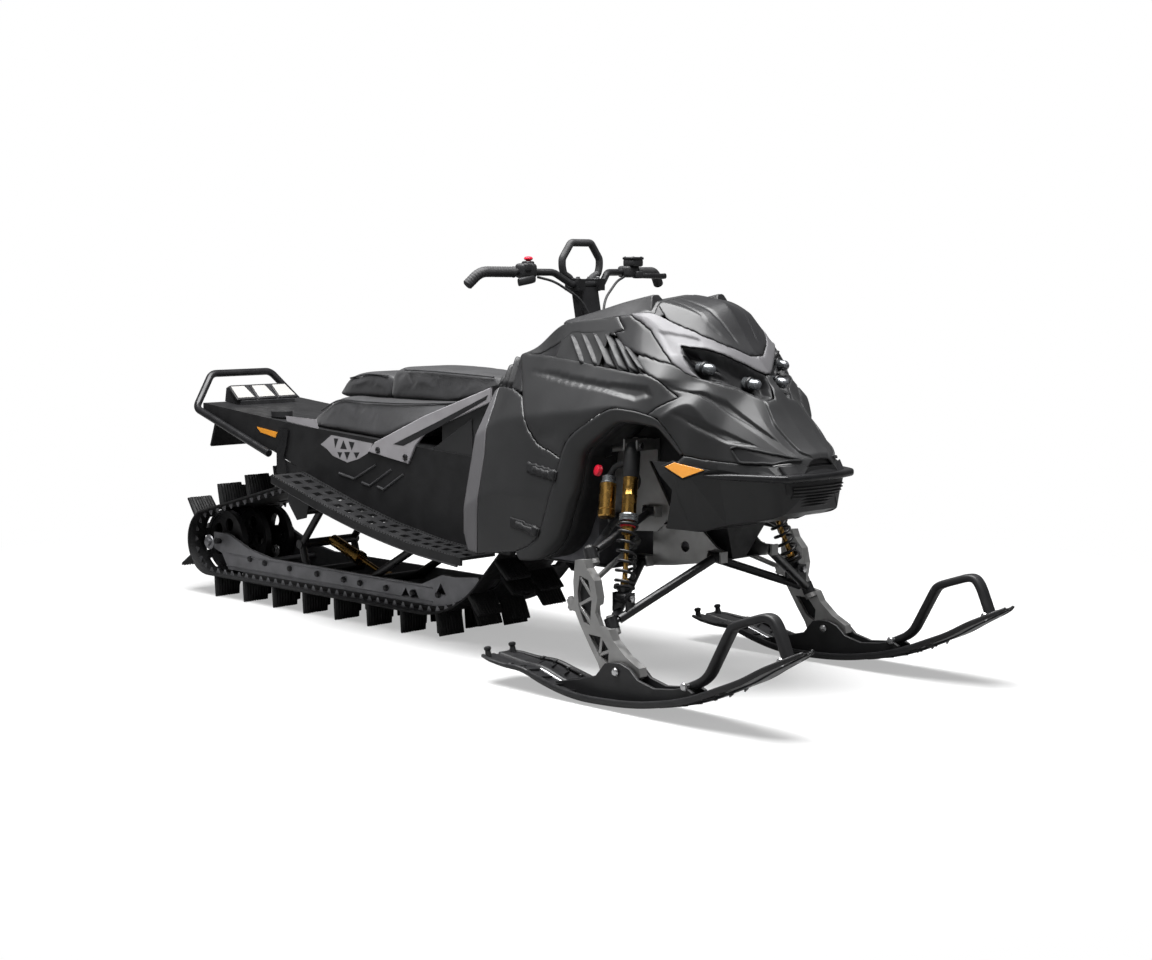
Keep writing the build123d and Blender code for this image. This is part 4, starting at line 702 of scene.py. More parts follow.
class SNOW_OT_side_panels(bpy.types.Operator):
    """Side panels: a lower panel, an inset upper panel with a hollow, and the grey edge behind them"""
    bl_idname = "snow.side_panels"
    bl_label = "Side panels"

    def execute(self, context):
        hollow = [(300, 238, 905), (470, 262, 915), (560, 280, 905), (720, 297, 890), (880, 293, 884),
                  (905, 300, 850), (840, 318, 838), (714, 314, 856), (585, 304, 868), (470, 285, 880)]
        lower_fold = [(300, 262, 880), (350, 320, 790), (400, 340, 740), (470, 346, 712), (540, 346, 720)]
        inset = SEAM_SIDE_TOP + SEAM_ARCH + SEAM_INSET_REAR[1:-1]
        body_panel("side_inset", inset, "body_black",
                   relief=[("area", hollow, 24.0, -7.0), ("groove", lower_fold, 15.0, -2.4)])
        lower = (SEAM_INSET_REAR[::-1][2:] + SEAM_LOWER_FRONT[1:] + SEAM_LOWER_EDGE[1:] + SEAM_GREY[1:-1]
                 + [(180, 222, 850), (300, 272, 850)])
        body_panel("side_lower", lower, "body_black", "side_panel")
        grey = SEAM_GREY[:-1] + [(180, 222, 850), (150, 215, 835), (150, 320, 620), (150, 350, 480),
                                 (150, 350, 400), (168, 351, 344)]
        body_panel("side_edge", grey, "body_grey")
        return {"FINISHED"}


class SNOW_OT_top_panels(bpy.types.Operator):
    """Console, visor, dark side pieces, grey lamp band and hood"""
    bl_idname = "snow.top_panels"
    bl_label = "Upper panels"

    def execute(self, context):
        console = ([(150, 0, 872)] + SEAM_CONSOLE + SEAM_VENT_TOP[1:4] + [(678, 227, 1028), (720, 226, 1036),
                   (666, 195, 1076)] + [(717, 198, 1081), (801, 185, 1084), (790, 160, 1108), (782, 0, 1134)])
        body_panel("console_cover", console, "body_black", joined=True)
        visor = SEAM_VISOR + [(790, 0, 1134)]
        channels = [("groove", [(800, 78, 1122), (900, 70, 1094), (985, 52, 1030)], 7.0, -2.2),
                    ("groove", [(790, 120, 1118), (880, 110, 1080), (960, 88, 1020)], 6.0, -1.6)]
        body_panel("visor_shield", visor, "visor_black", "visor", joined=True, relief=channels, lift=1.5)
        dark = (SEAM_BAND_OUT[:4] + SEAM_DARK_LOW[1:] + [(690, 231, 1021), (678, 227, 1028), (720, 226, 1036),
                (666, 195, 1076)])
        body_panel("lamp_side", dark, "visor_black")
        band = SEAM_BAND_OUT + SEAM_LAMP_TOP + [(1076, 0, 914)] + SEAM_VISOR[:-1] + [(801, 185, 1084)]
        upper_face = [(834, 212, 1037), (924, 168, 1021), (948, 150, 1012), (964, 160, 992), (940, 190, 994),
                      (915, 206, 998), (925, 216, 960), (905, 232, 965)]
        body_panel("lamp_band", band, "body_grey", "lamp_surround", joined=True, lift=2.5,
                   relief=[("area", upper_face, 10.0, -3.5)])
        hood = (SEAM_VENT_TOP[-2:] + SEAM_SIDE_TOP[-2:] + SEAM_HOOD_LOW + [(1268, 0, 684), (1076, 0, 914)]
                + SEAM_LAMP_LOW[:-2] + [(987, 202, 904)] + SEAM_DARK_LOW[0:3])
        fold = [(905, 286, 893), (960, 263, 878), (1056, 160, 844), (1116, 133, 792), (1206, 96, 722),
                (1167, 123, 745), (1107, 151, 783), (1047, 193, 826), (1000, 230, 850)]
        wedge = [(1095, 0, 890), (1090, 12, 890), (1112, 66, 838), (1160, 84, 776), (1236, 62, 706), (1268, 36, 684),
                 (1268, 0, 684)]
        low_fold = [(930, 301, 825), (990, 280, 812), (1086, 200, 762), (1170, 150, 716), (1098, 207, 722),
                    (1030, 255, 758)]
        body_panel("hood_panel", hood, "body_black", "hood", joined=True,
                   relief=[("area", fold, 14.0, -8.0), ("area", wedge, 14.0, 7.0), ("area", low_fold, 18.0, -7.0),
                           ("groove", [(917, 288, 896), (951, 266, 874), (1026, 205, 858)], 5.0, -2.5)])
        fascia = (SEAM_HOOD_LOW[3:] + [(1268, 80, 640), (1268, 60, -1), (1160, 150, -1), (1000, 215, -1),
                  (972, 240, 500), (958, 280, 600), (972, 292, 660)])
        body_panel("fascia_panel", fascia, "body_black", relief=[
            ("groove", [(985, 272, 600), (1080, 214, 612), (1120, 190, 632), (1180, 165, 640)], 5.0, -3.0)])
        return {"FINISHED"}


# ---------------------------------------------------------------- front details


ARCH_WIDTH = ([384, 504, 558, 591, 681, 777, 891, 966, 1002], [26, 66, 66, 58, 50, 42, 34, 20, 10])
# Outline of the wall of painted shade that closes each arch, as (along, up)
ARCH_WALL = [(540, 470), (576, 640), (640, 735), (740, 800), (890, 790), (1000, 690), (930, 560), (860, 480)]
LATCHES = [((438, 350, 641), (570, 354, 622), (564, 357, 591), (440, 353, 612)),
           ((372, 356, 471), (501, 357, 447), (488, 357, 416), (372, 356, 440))]
WHEEL_WALL_Y = 158.0


def averaged(rows):
    """Rows of points evened out along their length by a bell-shaped window of 13 points."""
    kernel = np.hanning(15)[1:-1] / np.hanning(15).sum()
    return np.stack([np.convolve(np.pad(row, 6, mode="edge"), kernel, "valid") for row in rows.T], -1)


class SNOW_OT_arch_lips(bpy.types.Operator):
    """Rolled lips round the arches, near-black liners and walls behind them as painted shade, and the latches of the
    side panels
    """
    bl_idname = "snow.arch_lips"
    bl_label = "Arches"

    def execute(self, context):
        path = SEAM_LOWER_FRONT[::-1] + SEAM_ARCH[::-1][1:] + SEAM_HOOD_LOW[1:4]
        line = averaged(body_sheet().follow(path, lift=-2.0))
        width = np.interp(line[:, 0], *ARCH_WIDTH)[:, None]
        run = averaged(np.gradient(line[:, [0, 2]], axis=0))
        run /= np.linalg.norm(run, axis=1)[:, None]
        angle = np.linspace(0, np.pi / 2, 11)
        roll = line[:, None, :].repeat(len(angle), 1)
        roll[..., 0] += run[:, 1:] * width * np.sin(angle)
        roll[..., 2] -= run[:, :1] * width * np.sin(angle)
        roll[..., 1] -= 0.8 * width * (1 - np.cos(angle) ** 0.7)
        # The liner runs from the lip's inner edge in to the wheel wall, near black: painted shade inside the arch.
        deep = np.linspace(0, 1, 6)[None, :, None]
        inner = roll[:, -1:, :] * (1.0, 0.0, 1.0) + (0.0, WHEEL_WALL_Y + 2, 0.0)
        liner = roll[:, -1:, :] * (1 - deep) + inner * deep
        for side, sign in SIDES:
            for name, grid, material in (("arch_lip", roll, "body_black"), ("arch_liner", liner, "mesh_black")):
                quads = grid_faces(*grid.shape[:2])[:, ::sign]
                piece = weld(make_piece(f"{name}_{side}", grid * (1.0, sign, 1.0), quads, material, CHASSIS, 60))
                done(add_wall(piece, 3.0, 0.0))
            # A flat near-black wall closes each arch: painted shade where the arch opens into the machine.
            outline = [(x, sign * WHEEL_WALL_Y, z) for x, z in ARCH_WALL]
            done(plate(f"arch_wall_{side}", [outline], (0, -sign, 0), 4, "mesh_black"))
        for k, c in enumerate(np.array(LATCHES, float)):
            catch = [c[1] * 0.75 + c[0] * 0.25, c[1] * 0.97 + c[0] * 0.03, c[2] * 0.97 + c[3] * 0.03,
                     c[2] * 0.75 + c[3] * 0.25]
            body_panel(f"latch_bed_{k}", c, "mesh_black", lift=3.2, drop=0.0, gap=0.0)
            body_panel(f"latch_strap_{k}", c * 0.62 + c.mean(axis=0) * 0.38, "grip_rubber", lift=6.5, drop=3.0)
            body_panel(f"latch_catch_{k}", catch, "trim_black", lift=8.0, drop=3.0)
        return {"FINISHED"}


LAMP_CORES = both([(952, 166, 934), (1034, 62, 889)])
LAMP_WAY = (0.97, 0, -0.1)
# Turned pieces of the projectors: outline, finish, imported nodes
PROJECTORS = {
    "drums": ([(0, 12), (2, 16), (18, 17), (20, 18.5), (28, 18.5), (30, 15.5), (50, 15.5), (54, 14)],
              "lamp_core", []),
    "rings": ([(20, 19.6), (22, 20.4), (27, 20.4), (29, 19.6)], "black_steel", []),
    "lenses": ([(50, 13.8), (56, 12.5), (60, 9), (62, 4)], "lamp_glass", ["headlamps"]),
}


class SNOW_OT_headlamps(bpy.types.Operator):
    """Lamp bowls sunk into the band, with two projector units on each side"""
    bl_idname = "snow.headlamps"
    bl_label = "Headlamps"

    def execute(self, context):
        outline = SEAM_LAMP_TOP + SEAM_LAMP_LOW[1:-1]
        body_panel("lamp_bowl", outline, "trim_black", joined=True, lift=-3.0, drop=0.0, gap=0.5,
                   relief=[("area", outline, 20.0, -34.0),
                           ("groove", [(940, 200, 960), (975, 178, 940), (1030, 120, 905)], 7.0, 9.0),
                           ("groove", [(1000, 130, 955), (1060, 60, 912)], 6.0, 7.0)])
        for name, (form, material, nodes) in PROJECTORS.items():
            done(turned(f"projector_{name}", LAMP_CORES, LAMP_WAY, form, material, sides=28), *nodes)
        return {"FINISHED"}


# Louvres: the upper and the lower ends of each, the finish, the width and how far the middle rises
VENT_SLATS = ([(500, 222, 1018), (548, 222, 1022), (600, 222, 1022), (655, 222, 1018), (705, 222, 1000),
               (752, 222, 976)],
              [(590, 270, 938), (652, 270, 931), (712, 270, 926), (765, 270, 920), (808, 270, 917),
               (842, 270, 917)], "trim_black", 26.0, 5.0)
SLOT_SLATS = ([(205, 196, 918), (232, 200, 926), (258, 206, 930)],
              [(196, 224, 860), (232, 240, 858), (270, 258, 860)], "body_black", 12.0, 2.0)
SIDE_SLOT = [(172, 200, 872), (200, 188, 930), (264, 201, 947), (312, 254, 894), (338, 284, 842),
             (300, 272, 850), (180, 222, 850)]
SHOULDER_FILLS = ([(735, 112, 1130), (690, 184, 1092), (800, 205, 1056), (840, 150, 1094)],
                  [(335, 238, 940), (390, 212, 985), (480, 212, 1010), (490, 240, 970), (415, 254, 925)])
HORN_FOOT = [(418, 178, 1050), (561, 202, 1060), (680, 201, 1076), (790, 190, 1080)]
HORN_TOP = [(418, 170, 1056), (540, 168, 1084), (650, 164, 1112), (768, 162, 1136)]
HORN_ROOT = [(418, 140, 1054), (540, 124, 1070), (650, 118, 1092), (782, 112, 1112)]


class SNOW_OT_vents(bpy.types.Operator):
    """Slatted vents high on the sides, the slot behind the inset panels and the horns beside the visor"""
    bl_idname = "snow.vents"
    bl_label = "Vents and horns"

    def louvres(self, name, tops, lows, material, width, rise):
        """Slats: each runs from a place on the upper seam to one on the lower, its front edge sunk."""
        sheet = body_sheet()
        t = np.linspace(0, 1, 12)[:, None]
        s = np.linspace(0, 1, 6)[None, :]
        grids = []
        for pair in zip(tops, lows):
            a, b = sheet.on_sheet(pair, closed=False)[[0, -1]]
            x = a[0] + (b[0] - a[0]) * t + (s - 0.5) * width * (0.7 + 0.5 * t)
            share = a[1] + (b[1] - a[1]) * t + 0 * s
            lift = rise * np.sin(np.pi * t) ** 0.5 + 3.0 - 16.0 * s ** 1.5
            grids.append(sheet.at(np.stack([x, share], -1).reshape(-1, 2), lift.reshape(-1, 1)))
        quads = np.vstack([grid_faces(12, 6, start=72 * k) for k in range(len(grids))])
        for side, sign in SIDES:
            piece = make_piece(f"{name}_{side}", np.vstack(grids) * (1.0, sign, 1.0), quads[:, ::sign], material,
                               CHASSIS, 60)
            done(add_wall(piece, 3.0, 0.0), slot="body_black")

    def execute(self, context):
        bed = SEAM_VENT_TOP + SEAM_VENT_LOW[1:-1]
        # The bed sunk behind the slats is near black: painted shade in the vent's openings.
        body_panel("vent_bed", bed, "mesh_black", lift=-15.0, drop=0.0, gap=-4.0)
        self.louvres("vent_slats", *VENT_SLATS)
        # The slot's bed is near black too: painted shade in the opening behind its slats.
        body_panel("side_slot", SIDE_SLOT, "mesh_black", lift=-12.0, drop=0.0, gap=-3.0)
        self.louvres("slot_slats", *SLOT_SLATS)
        for k, corners in enumerate(SHOULDER_FILLS):
            body_panel(f"shoulder_fill_{k}", corners, "trim_black", lift=-2.5, drop=0.0, gap=-2.0)
        foot, top, root = (curve_through(line, 40) for line in (HORN_FOOT, HORN_TOP, HORN_ROOT))
        back = top + (0.0, -30.0, 3.0)
        grid = np.stack([foot - (0.0, 4.0, 12.0), foot, top * 0.93 + foot * 0.07, top,
                         top * 0.7 + back * 0.3 + (0, 0, 2.5), back, root, root - (0, 6.0, 12.0)], 1)
        for side, sign in SIDES:
            piece = closed_forms(f"horn_{side}", [grid * (1.0, sign, 1.0)], "trim_black", smooth=40)
            done(round_edges(piece, 3.0, 2, 30))
        return {"FINISHED"}


BUMPER_HALF = np.array([(1052, 254, 634), (1100, 236, 634), (1150, 211, 634), (1262, 156, 632)], float)
BUMPER_FRONT = [(1276, -70, 631), (1276, 70, 631)]
SCOOP = [(1106, 205, 712), (1119, 195, 718), (1155, 171, 710), (1200, 134, 698), (1236, 97, 688),
         (1256, 62, 675), (1212, 142, 671), (1158, 180, 673), (1132, 196, 675)]
KITE = np.array([(950, 300, 655), (980, 298, 671), (1055, 254, 651), (992, 270, 622)], float)
# The nose face from its top edge down: place along, half width, height and bow, at four shares of the way
NOSE_SHARES = (0, 0.25, 0.6, 1)
NOSE_ROWS = ((1240, 1268, 1268, 1237), (126, 122, 112, 104), (668, 640, 590, 528), (22, 8, 4, -18))


class SNOW_OT_nose(bpy.types.Operator):
    """Bumper lip, air scoops, amber reflectors, the nose face and its slatted grille"""
    bl_idname = "snow.nose"
    bl_label = "Nose"

    def reflectors(self):
        """Kite-shaped plates on the sides of the nose: a dark bed, and the lens on it."""
        for side, sign in SIDES:
            out = np.array([0.52, 0.83, 0.2])
            for name, size, stand, material in (("reflector_bed", 1.25, 9.0, "mesh_black"),
                                                ("reflector_front", 1.0, 13.0, "reflector_amber")):
                flat = KITE - ((KITE - KITE.mean(0)) @ out)[:, None] * out
                shape = flat.mean(0) + (flat - flat.mean(0)) * size + out * stand
                flip = (1.0, sign, 1.0)
                done(round_edges(plate(f"{name}_{side}", [shape * flip], out * flip, 4, material), 1.2, 2, 30))

    def execute(self, context):
        path = rounded_line(np.vstack([BUMPER_HALF * TWICE, BUMPER_FRONT, BUMPER_HALF[::-1]]), 26.0, 7)
        lip = swept(path, soft_ring(20, 0.5, 19, 11, 0.6) - (9, 0),
                    scale=np.interp(path[:, 0], [1052, 1120, 1276], [0.35, 0.85, 1.0]))
        done(closed_forms("bumper_lip", [lip], "black_steel"), "front_bumper", slot="trim_black")
        body_panel("scoop_mesh", SCOOP, "mesh_black", lift=1.2, drop=0.0)
        rim = body_sheet().follow([*SCOOP, SCOOP[0]], lift=3.0)[::2]
        done(tube("scoop_rims", both([rim]), 3.2, "body_black", sides=8))
        self.reflectors()
        done(blocks("nose_tip", [((1236, 0, 671), (22, 78, 17), 1)], "body_black", CHASSIS))
        u, v = np.linspace(-1, 1, 33), np.linspace(0, 1, 29)
        along, half, up, bow = (np.interp(v, NOSE_SHARES, row)[:, None] for row in NOSE_ROWS)
        face = np.stack(np.broadcast_arrays(along - 26 + bow * 0.6 + 30 * (1 - u ** 2) ** 0.7, half * u * 1.12,
                                            up), -1)
        piece = weld(make_piece("nose_face", face, grid_faces(*face.shape[:2]), "trim_black", CHASSIS, 60))
        done(add_wall(piece, 4.0))
        slats = []
        for height in np.linspace(604, 548, 7):
            share = float(np.interp(height, up[::-1, 0], v[::-1]))
            x = np.array([np.interp(share, v, column) for column in face[..., 0].T])
            y = np.interp(share, v, half[:, 0]) * u * 1.12
            slats.append(np.stack([x + 3.0, y, np.full_like(y, height)], -1)[2:-2])
        done(tube("grille_slats", slats, 3.2, "body_black", sides=8, squash=0.8), slot="trim_black")
        return {"FINISHED"}


# ---------------------------------------------------------------- front suspension


# Places of the left side's damper
SHOCK_TOP = np.array([780.0, 255.0, 706.0])
SHOCK_FOOT = np.array([874.0, 392.0, 285.0])
SHOCK_LENGTH = float(np.linalg.norm(SHOCK_FOOT - SHOCK_TOP))
SHOCK_WAY = (SHOCK_FOOT - SHOCK_TOP) / SHOCK_LENGTH
SPRING = (234.0, 420.0)  # from the top eye to the ends of the coil
RESERVOIR = (-84, 4, -4)  # from the damper's axis to its reservoir's
RESERVOIR_HEAD = SHOCK_TOP + RESERVOIR + SHOCK_WAY * 92
HALF_STANCE = 471.5

# Turned pieces on a damper's axis: finish, shift of the axis, and outline down from the top eye
SHOCK_FORMS = {
    "shock_sleeve": ("trim_black", (0, 0, 0), [(-6, 8), (-2, 17), (12, 19), (20, 23), (30, 24), (96, 24),
                                               (100, 22)]),
    "shock_body": ("shock_gold", (0, 0, 0), [(98, 20), (101, 22.5), (104, 22.5), (106, 21.5), (150, 21.5),
                                             (152, 22.5), (156, 22.5), (158, 21.5), (204, 21.5), (208, 20)]),
    "shock_collar": ("lamp_core", (0, 0, 0), [(207, 21), (209, 27), (212, 28), (214, 26), (216, 28), (219, 28),
                                              (221, 26), (223, 28), (229, 28), (231, 24)]),
    "shock_lower": ("shock_gold", (0, 0, 0), [(230, 17), (232, 18), (266, 18), (268, 16), (272, 9), (276, 7.5),
                                              (398, 7.5), (400, 12), (430, 12), (SHOCK_LENGTH - 14, 12)]),
    "shock_seat": ("black_steel", (0, 0, 0), [(419, 20), (421, 31), (426, 31), (428, 22), (440, 14)]),
    "shock_clicker": ("red_switch", (0, 0, 0), [(236, 21), (238, 23), (244, 23), (246, 21)]),
    "reservoir": ("shock_gold", RESERVOIR, [(118, 18), (120, 24.5), (196, 24.5), (198, 23), (200, 25.5),
                                            (216, 25.5), (220, 22), (221, 6)]),
    "reservoir_cap": ("lamp_core", RESERVOIR, [(96, 10), (97, 20), (114, 20), (116, 23), (119, 23)]),
}
KNOB = [(0, 7), (1, 15), (5, 17), (9, 15), (11, 17), (15, 16), (18, 11), (19, 3)]
EYELET = [(0, 8), (0.5, 15), (6, 16.5), (42, 16.5), (47.5, 15), (48, 8)]
SHOCK_BOLT = [(0, 10), (6, 10), (7, 8), (7, 2)]


def helix(start, way, reach, radius, turns, per_turn=20, flat=0.8):
    """A coil about an axis: a circle carried along it, with its last `flat` turn at each end closed up."""
    way = np.asarray(way, float)
    side = np.cross(way, (1.0, 0.0, 0.0))
    side /= np.linalg.norm(side)
    lift = np.cross(way, side)
    t = np.linspace(0, turns, int(turns * per_turn))
    advance = np.clip((t - flat) / (turns - 2 * flat), 0, 1) * 0.92 + 0.04 * np.clip(t / flat, 0, 1)
    advance += 0.04 * np.clip((t - turns + flat) / flat, 0, 1)
    a = 2 * np.pi * t[:, None]
    return start + way * reach * advance[:, None] + radius * (np.cos(a) * side + np.sin(a) * lift)


class SNOW_OT_dampers(bpy.types.Operator):
    """Front dampers: sleeve, gold body, collar, shaft, reservoir, adjusters and open coil"""
    bl_idname = "snow.dampers"
    bl_label = "Dampers"

    def execute(self, context):
        look = context.scene.snow_front
        wire = look.wire / MM
        coil = helix(SHOCK_TOP + SHOCK_WAY * SPRING[0], SHOCK_WAY, SPRING[1] - SPRING[0],
                     look.coil_radius / MM - wire, look.coils)
        hose = curve_through([RESERVOIR_HEAD + SHOCK_WAY * 6, RESERVOIR_HEAD + (22, -8, 26),
                              SHOCK_TOP + SHOCK_WAY * 50], 20)
        for name, (material, shift, form) in SHOCK_FORMS.items():
            for side, sign in SIDES:
                flip = np.array([1.0, sign, 1.0])
                piece = turned(f"{name}_{side}", [(SHOCK_TOP + shift) * flip], SHOCK_WAY * flip, form, material,
                               sides=30)
                done(piece, *([f"front_shock_{side}"] if name == "shock_body" else []))
        for side, sign in SIDES:
            flip = np.array([1.0, sign, 1.0])
            done(turned(f"red_knob_{side}", [(RESERVOIR_HEAD + (-24, 10, 10)) * flip],
                        np.array([-0.3, 0.85, 0.25]) * flip, KNOB, "red_switch", sides=20))
            done(tube(f"reservoir_hose_{side}", [hose * flip], 9, "trim_black", sides=12))
            piece = tube(f"spring_{side}", [coil * flip], wire, "black_steel", sides=10, up=SHOCK_WAY * flip)
            done(piece, *(["front_springs"] if sign < 0 else []))
            done(turned(f"shock_eye_{side}", [(SHOCK_FOOT + (-24, 0, 0)) * flip], (1, 0, 0), EYELET, "black_steel",
                        sides=24))
            done(turned(f"shock_bolts_{side}", [(p + (31, 0, 0)) * flip for p in (SHOCK_TOP, SHOCK_FOOT)],
                        (1, 0, 0), SHOCK_BOLT, "bolt_steel", sides=6))
        return {"FINISHED"}


class FrontSettings(bpy.types.PropertyGroup):
    """Sizes of the front springs and skis."""

    coil_radius: FloatProperty(name="Coil radius", description="Outer radius of a front spring", default=0.031,
                               unit="LENGTH")
    wire: FloatProperty(name="Wire", description="Radius of the spring wire", default=0.0046, unit="LENGTH")
    coils: FloatProperty(name="Coils", description="Coils of a front spring", default=7.5)
    rib_pitch: FloatProperty(name="Rib pitch", description="Distance between the ribs of a ski", default=0.052,
                             unit="LENGTH")
    loop_width: FloatProperty(name="Loop width", description="Width of a ski's pull loop", default=0.038,
                              unit="LENGTH")


SKI_KEEL = [(430, 66), (529, 54), (613, 49), (696, 26), (776, 9), (855, 1), (932, 2), (1007, 6), (1081, 14),
            (1153, 27), (1223, 44), (1292, 68), (1360, 98), (1426, 129), (1490, 167), (1560, 206), (1598, 228)]
SKI_HALF = [(430, 62), (470, 76), (700, 84), (900, 85), (1250, 85), (1400, 78), (1500, 64), (1560, 50),
            (1585, 36), (1598, 20)]
SKI_RIM = ([430, 560, 700, 1300, 1500, 1598], [3, 8, 15, 15, 10, 4])
# Half section of a tray from its middle out: share of the half width, and height, from the seventh on in rims
TRAY_SHARE = np.array([0, 0.12, 0.16, 0.2, 0.55, 0.8, 0.9, 0.96, 1.0, 1.0, 0.985, 0.95, 0.92, 0.9])
TRAY_LIFT = np.array([0, 0, 4, 5, 4, 4.5, 6, 0.35, 0.8, 1.0, 1.12, 1.12, 0.9, 0.6])
TRAY_STAND = 7.0  # of the tray's drawn face above the keel
SKI_SADDLE = [(700, 34), (800, 56), (868, 74), (905, 116), (930, 122), (965, 124), (1000, 112), (1030, 86),
              (1090, 72), (1160, 80), (1205, 92), (1232, 80), (1226, 60), (1150, 38), (1080, 22), (925, 10),
              (780, 16)]
TAIL_CAP = [(-16, 10), (-4, 9), (4, 8), (8, 11), (14, 11), (17, 6), (17.5, 1)]
SKI_BOLT = [(-14, 8), (0, 8), (0.5, 12), (3, 12), (6, 9), (7, 3)]
PULL_LOOP = [(1190, 0, 84), (1262, 0, 118), (1338, 0, 256), (1352, 0, 276), (1470, 0, 316), (1496, 0, 296),
             (1534, 0, 206)]
SPINDLE_FACE = 472.0
SPINDLE_WINDOWS = [[(828, 186), (868, 132), (901, 112), (904, 149), (873, 183)],
                   [(787, 262), (807, 219), (831, 213), (833, 250), (837, 292), (823, 339), (791, 349), (783, 300)]]
SPINDLE_RIBS = [((784, 264), (838, 292)), ((784, 264), (834, 214)), ((788, 346), (838, 292)),
                ((866, 132), (874, 184)), ((866, 132), (905, 148))]


class SNOW_OT_skis(bpy.types.Operator):
    """Skis: trays with rolled rims and ribs, keel bars, saddles, pull loops and bolts, and the spindles' lattice"""
    bl_idname = "snow.skis"
    bl_label = "Skis"

    def tray(self, keel):
        """Sections across a ski: flat floor, then a rim that rolls up and over."""
        x = np.linspace(430, 1595, 170)
        low = np.interp(x, keel[:, 0], keel[:, 1])[:, None]
        half = np.interp(x, *np.array(SKI_HALF, float).T)[:, None] - 4.0
        floor = np.arange(len(TRAY_LIFT)) < 7
        height = np.where(floor, TRAY_LIFT, TRAY_LIFT * np.interp(x, *SKI_RIM)[:, None])
        right = np.stack([np.broadcast_to(x[:, None], height.shape), half * TRAY_SHARE,
                          low + TRAY_STAND + height], -1)
        return np.concatenate([right[:, :0:-1] * TWICE, right], 1)

    def stiffeners(self, keel, pitch):
        """Outlines of the posts inside a tray's rims, and of the ribs that run from them to its middle."""
        posts, ribs = [], []
        for at in np.arange(560, 1360, pitch):
            z = np.interp(at, keel[:, 0], keel[:, 1])
            w = np.interp(at, *np.array(SKI_HALF, float).T)
            for s in (-1, 1):
                y0, y1 = s * (w - 4), s * (w - 22)
                posts.append([(at - 7, y0, z + 9), (at + 7, y0, z + 9), (at + 5, y1, z + 9), (at - 5, y1, z + 9)])
                ribs.append([(at + 24, s * 26, z + 7), (at + 28, s * 26, z + 7), (at + 12, y1, z + 8),
                             (at + 8, y1, z + 8)])
        return np.array(posts), np.array(ribs)

    def lattice(self, side, sign):
        """Windows in a spindle's faces painted near black as painted shade, and ribs across them."""
        body = f"spindle_{side}"
        # Thin near-black plates on the cast faces: painted shade in the spindle's windows.
        shade_pockets = [[(x, sign * y, z) for x, z in window] for window in SPINDLE_WINDOWS for y in (466.4, 473.1)]
        done(plate(f"spindle_pockets_{side}", shade_pockets, (0, sign, 0), 0.5, "mesh_black", body), slot="cast_silver")
        struts = []
        for start, end in np.array(SPINDLE_RIBS, float):
            off = (end - start)[::-1] * (-1, 1) / np.linalg.norm(end - start) * 5.0
            struts.append([(x, sign * SPINDLE_FACE, z)
                           for x, z in (start - off, end - off, end + off, start + off)])
        piece = plate(f"spindle_ribs_{side}", struts, (0, sign, 0), 11, "cast_silver", body)
        done(round_edges(piece, 2.0))

    def execute(self, context):
        look = context.scene.snow_front
        keel = curve_through(SKI_KEEL, 400)
        grid = self.tray(keel)
        posts, ribs = self.stiffeners(keel, look.rib_pitch / MM)
        bar = keel[(keel[:, 0] > 620) & (keel[:, 0] < 1400)][::6]
        runner = np.stack([bar[:, 0], np.zeros(len(bar)), bar[:, 1] + 5.4], -1)
        loop = swept(rounded_line(PULL_LOOP, 34, 9), soft_ring(20, 0.45, look.loop_width / MM / 2, 12.0, 0.7))
        for side, sign in SIDES:
            body = f"ski_{side}"
            centre = np.array([0.0, sign * HALF_STANCE, 0.0])
            piece = weld(make_piece(f"ski_tray_{side}", grid + centre, grid_faces(*grid.shape[:2])[:, ::-1],
                                    "ski_black", body, 50))
            done(add_wall(piece, 4.5, 1.0), body)
            done(round_edges(plate(f"ski_posts_{side}", posts + centre, UP, 13, "ski_black", body), 1.5, 1))
            done(plate(f"ski_ribs_{side}", ribs + centre, UP, 6, "ski_black", body))
            done(tube(f"ski_runner_{side}", [runner + centre], 5.5, "runner_steel", body, 10))
            walls = [[(x, centre[1] + y, z) for x, z in SKI_SADDLE] for y in (-32.0, 20.6)]
            done(round_edges(plate(f"ski_saddle_{side}", walls, (0, 1, 0), 11.4, "ski_black", body), 2.0))
            caps = [centre + (446, s * 50, 88) for s in (-1, 1)]
            done(turned(f"ski_tail_{side}", caps, (-0.2, 0, 1), TAIL_CAP, "ski_black", body, 16))
            done(closed_forms(f"pull_loop_{side}", [loop + centre], "trim_black", body), f"ski_loop_{side}")
            self.lattice(side, sign)
            for k, way in enumerate((-1, 1)):
                heads = [centre + (x, way * 34, z) for x, z in ((1205, 94), (1534, 208), (950, 98))]
                done(turned(f"ski_bolts_{side}_{k}", heads, (0, way, 0), SKI_BOLT, "bolt_steel", body, 18))
        return {"FINISHED"}


# ---------------------------------------------------------------- track


class TrackSettings(bpy.types.PropertyGroup):
    """Sizes of the track."""

    half_width: FloatProperty(name="Half width", description="Half the belt's width", default=0.203, unit="LENGTH")
    belt: FloatProperty(name="Belt", description="Thickness of the belt", default=0.008, unit="LENGTH")
    rows: IntProperty(name="Rows", description="Rows of paddles round the belt", default=44)
    paddle: FloatProperty(name="Paddle", description="Height of a paddle", default=0.0755, unit="LENGTH")
    rib_pitch: FloatProperty(name="Ribs", description="Distance between a paddle's ribs", default=0.0125,
                             unit="LENGTH")


# Circles that the outside of the belt wraps, as (along, up, radius) in millimetres from the mark
BELT_CIRCLES = [(-1450, 200, 124), (-885, 408, 67), (74, 408, 124), (-250, 489, 413)]
PADDLE_LENGTH = 112.0


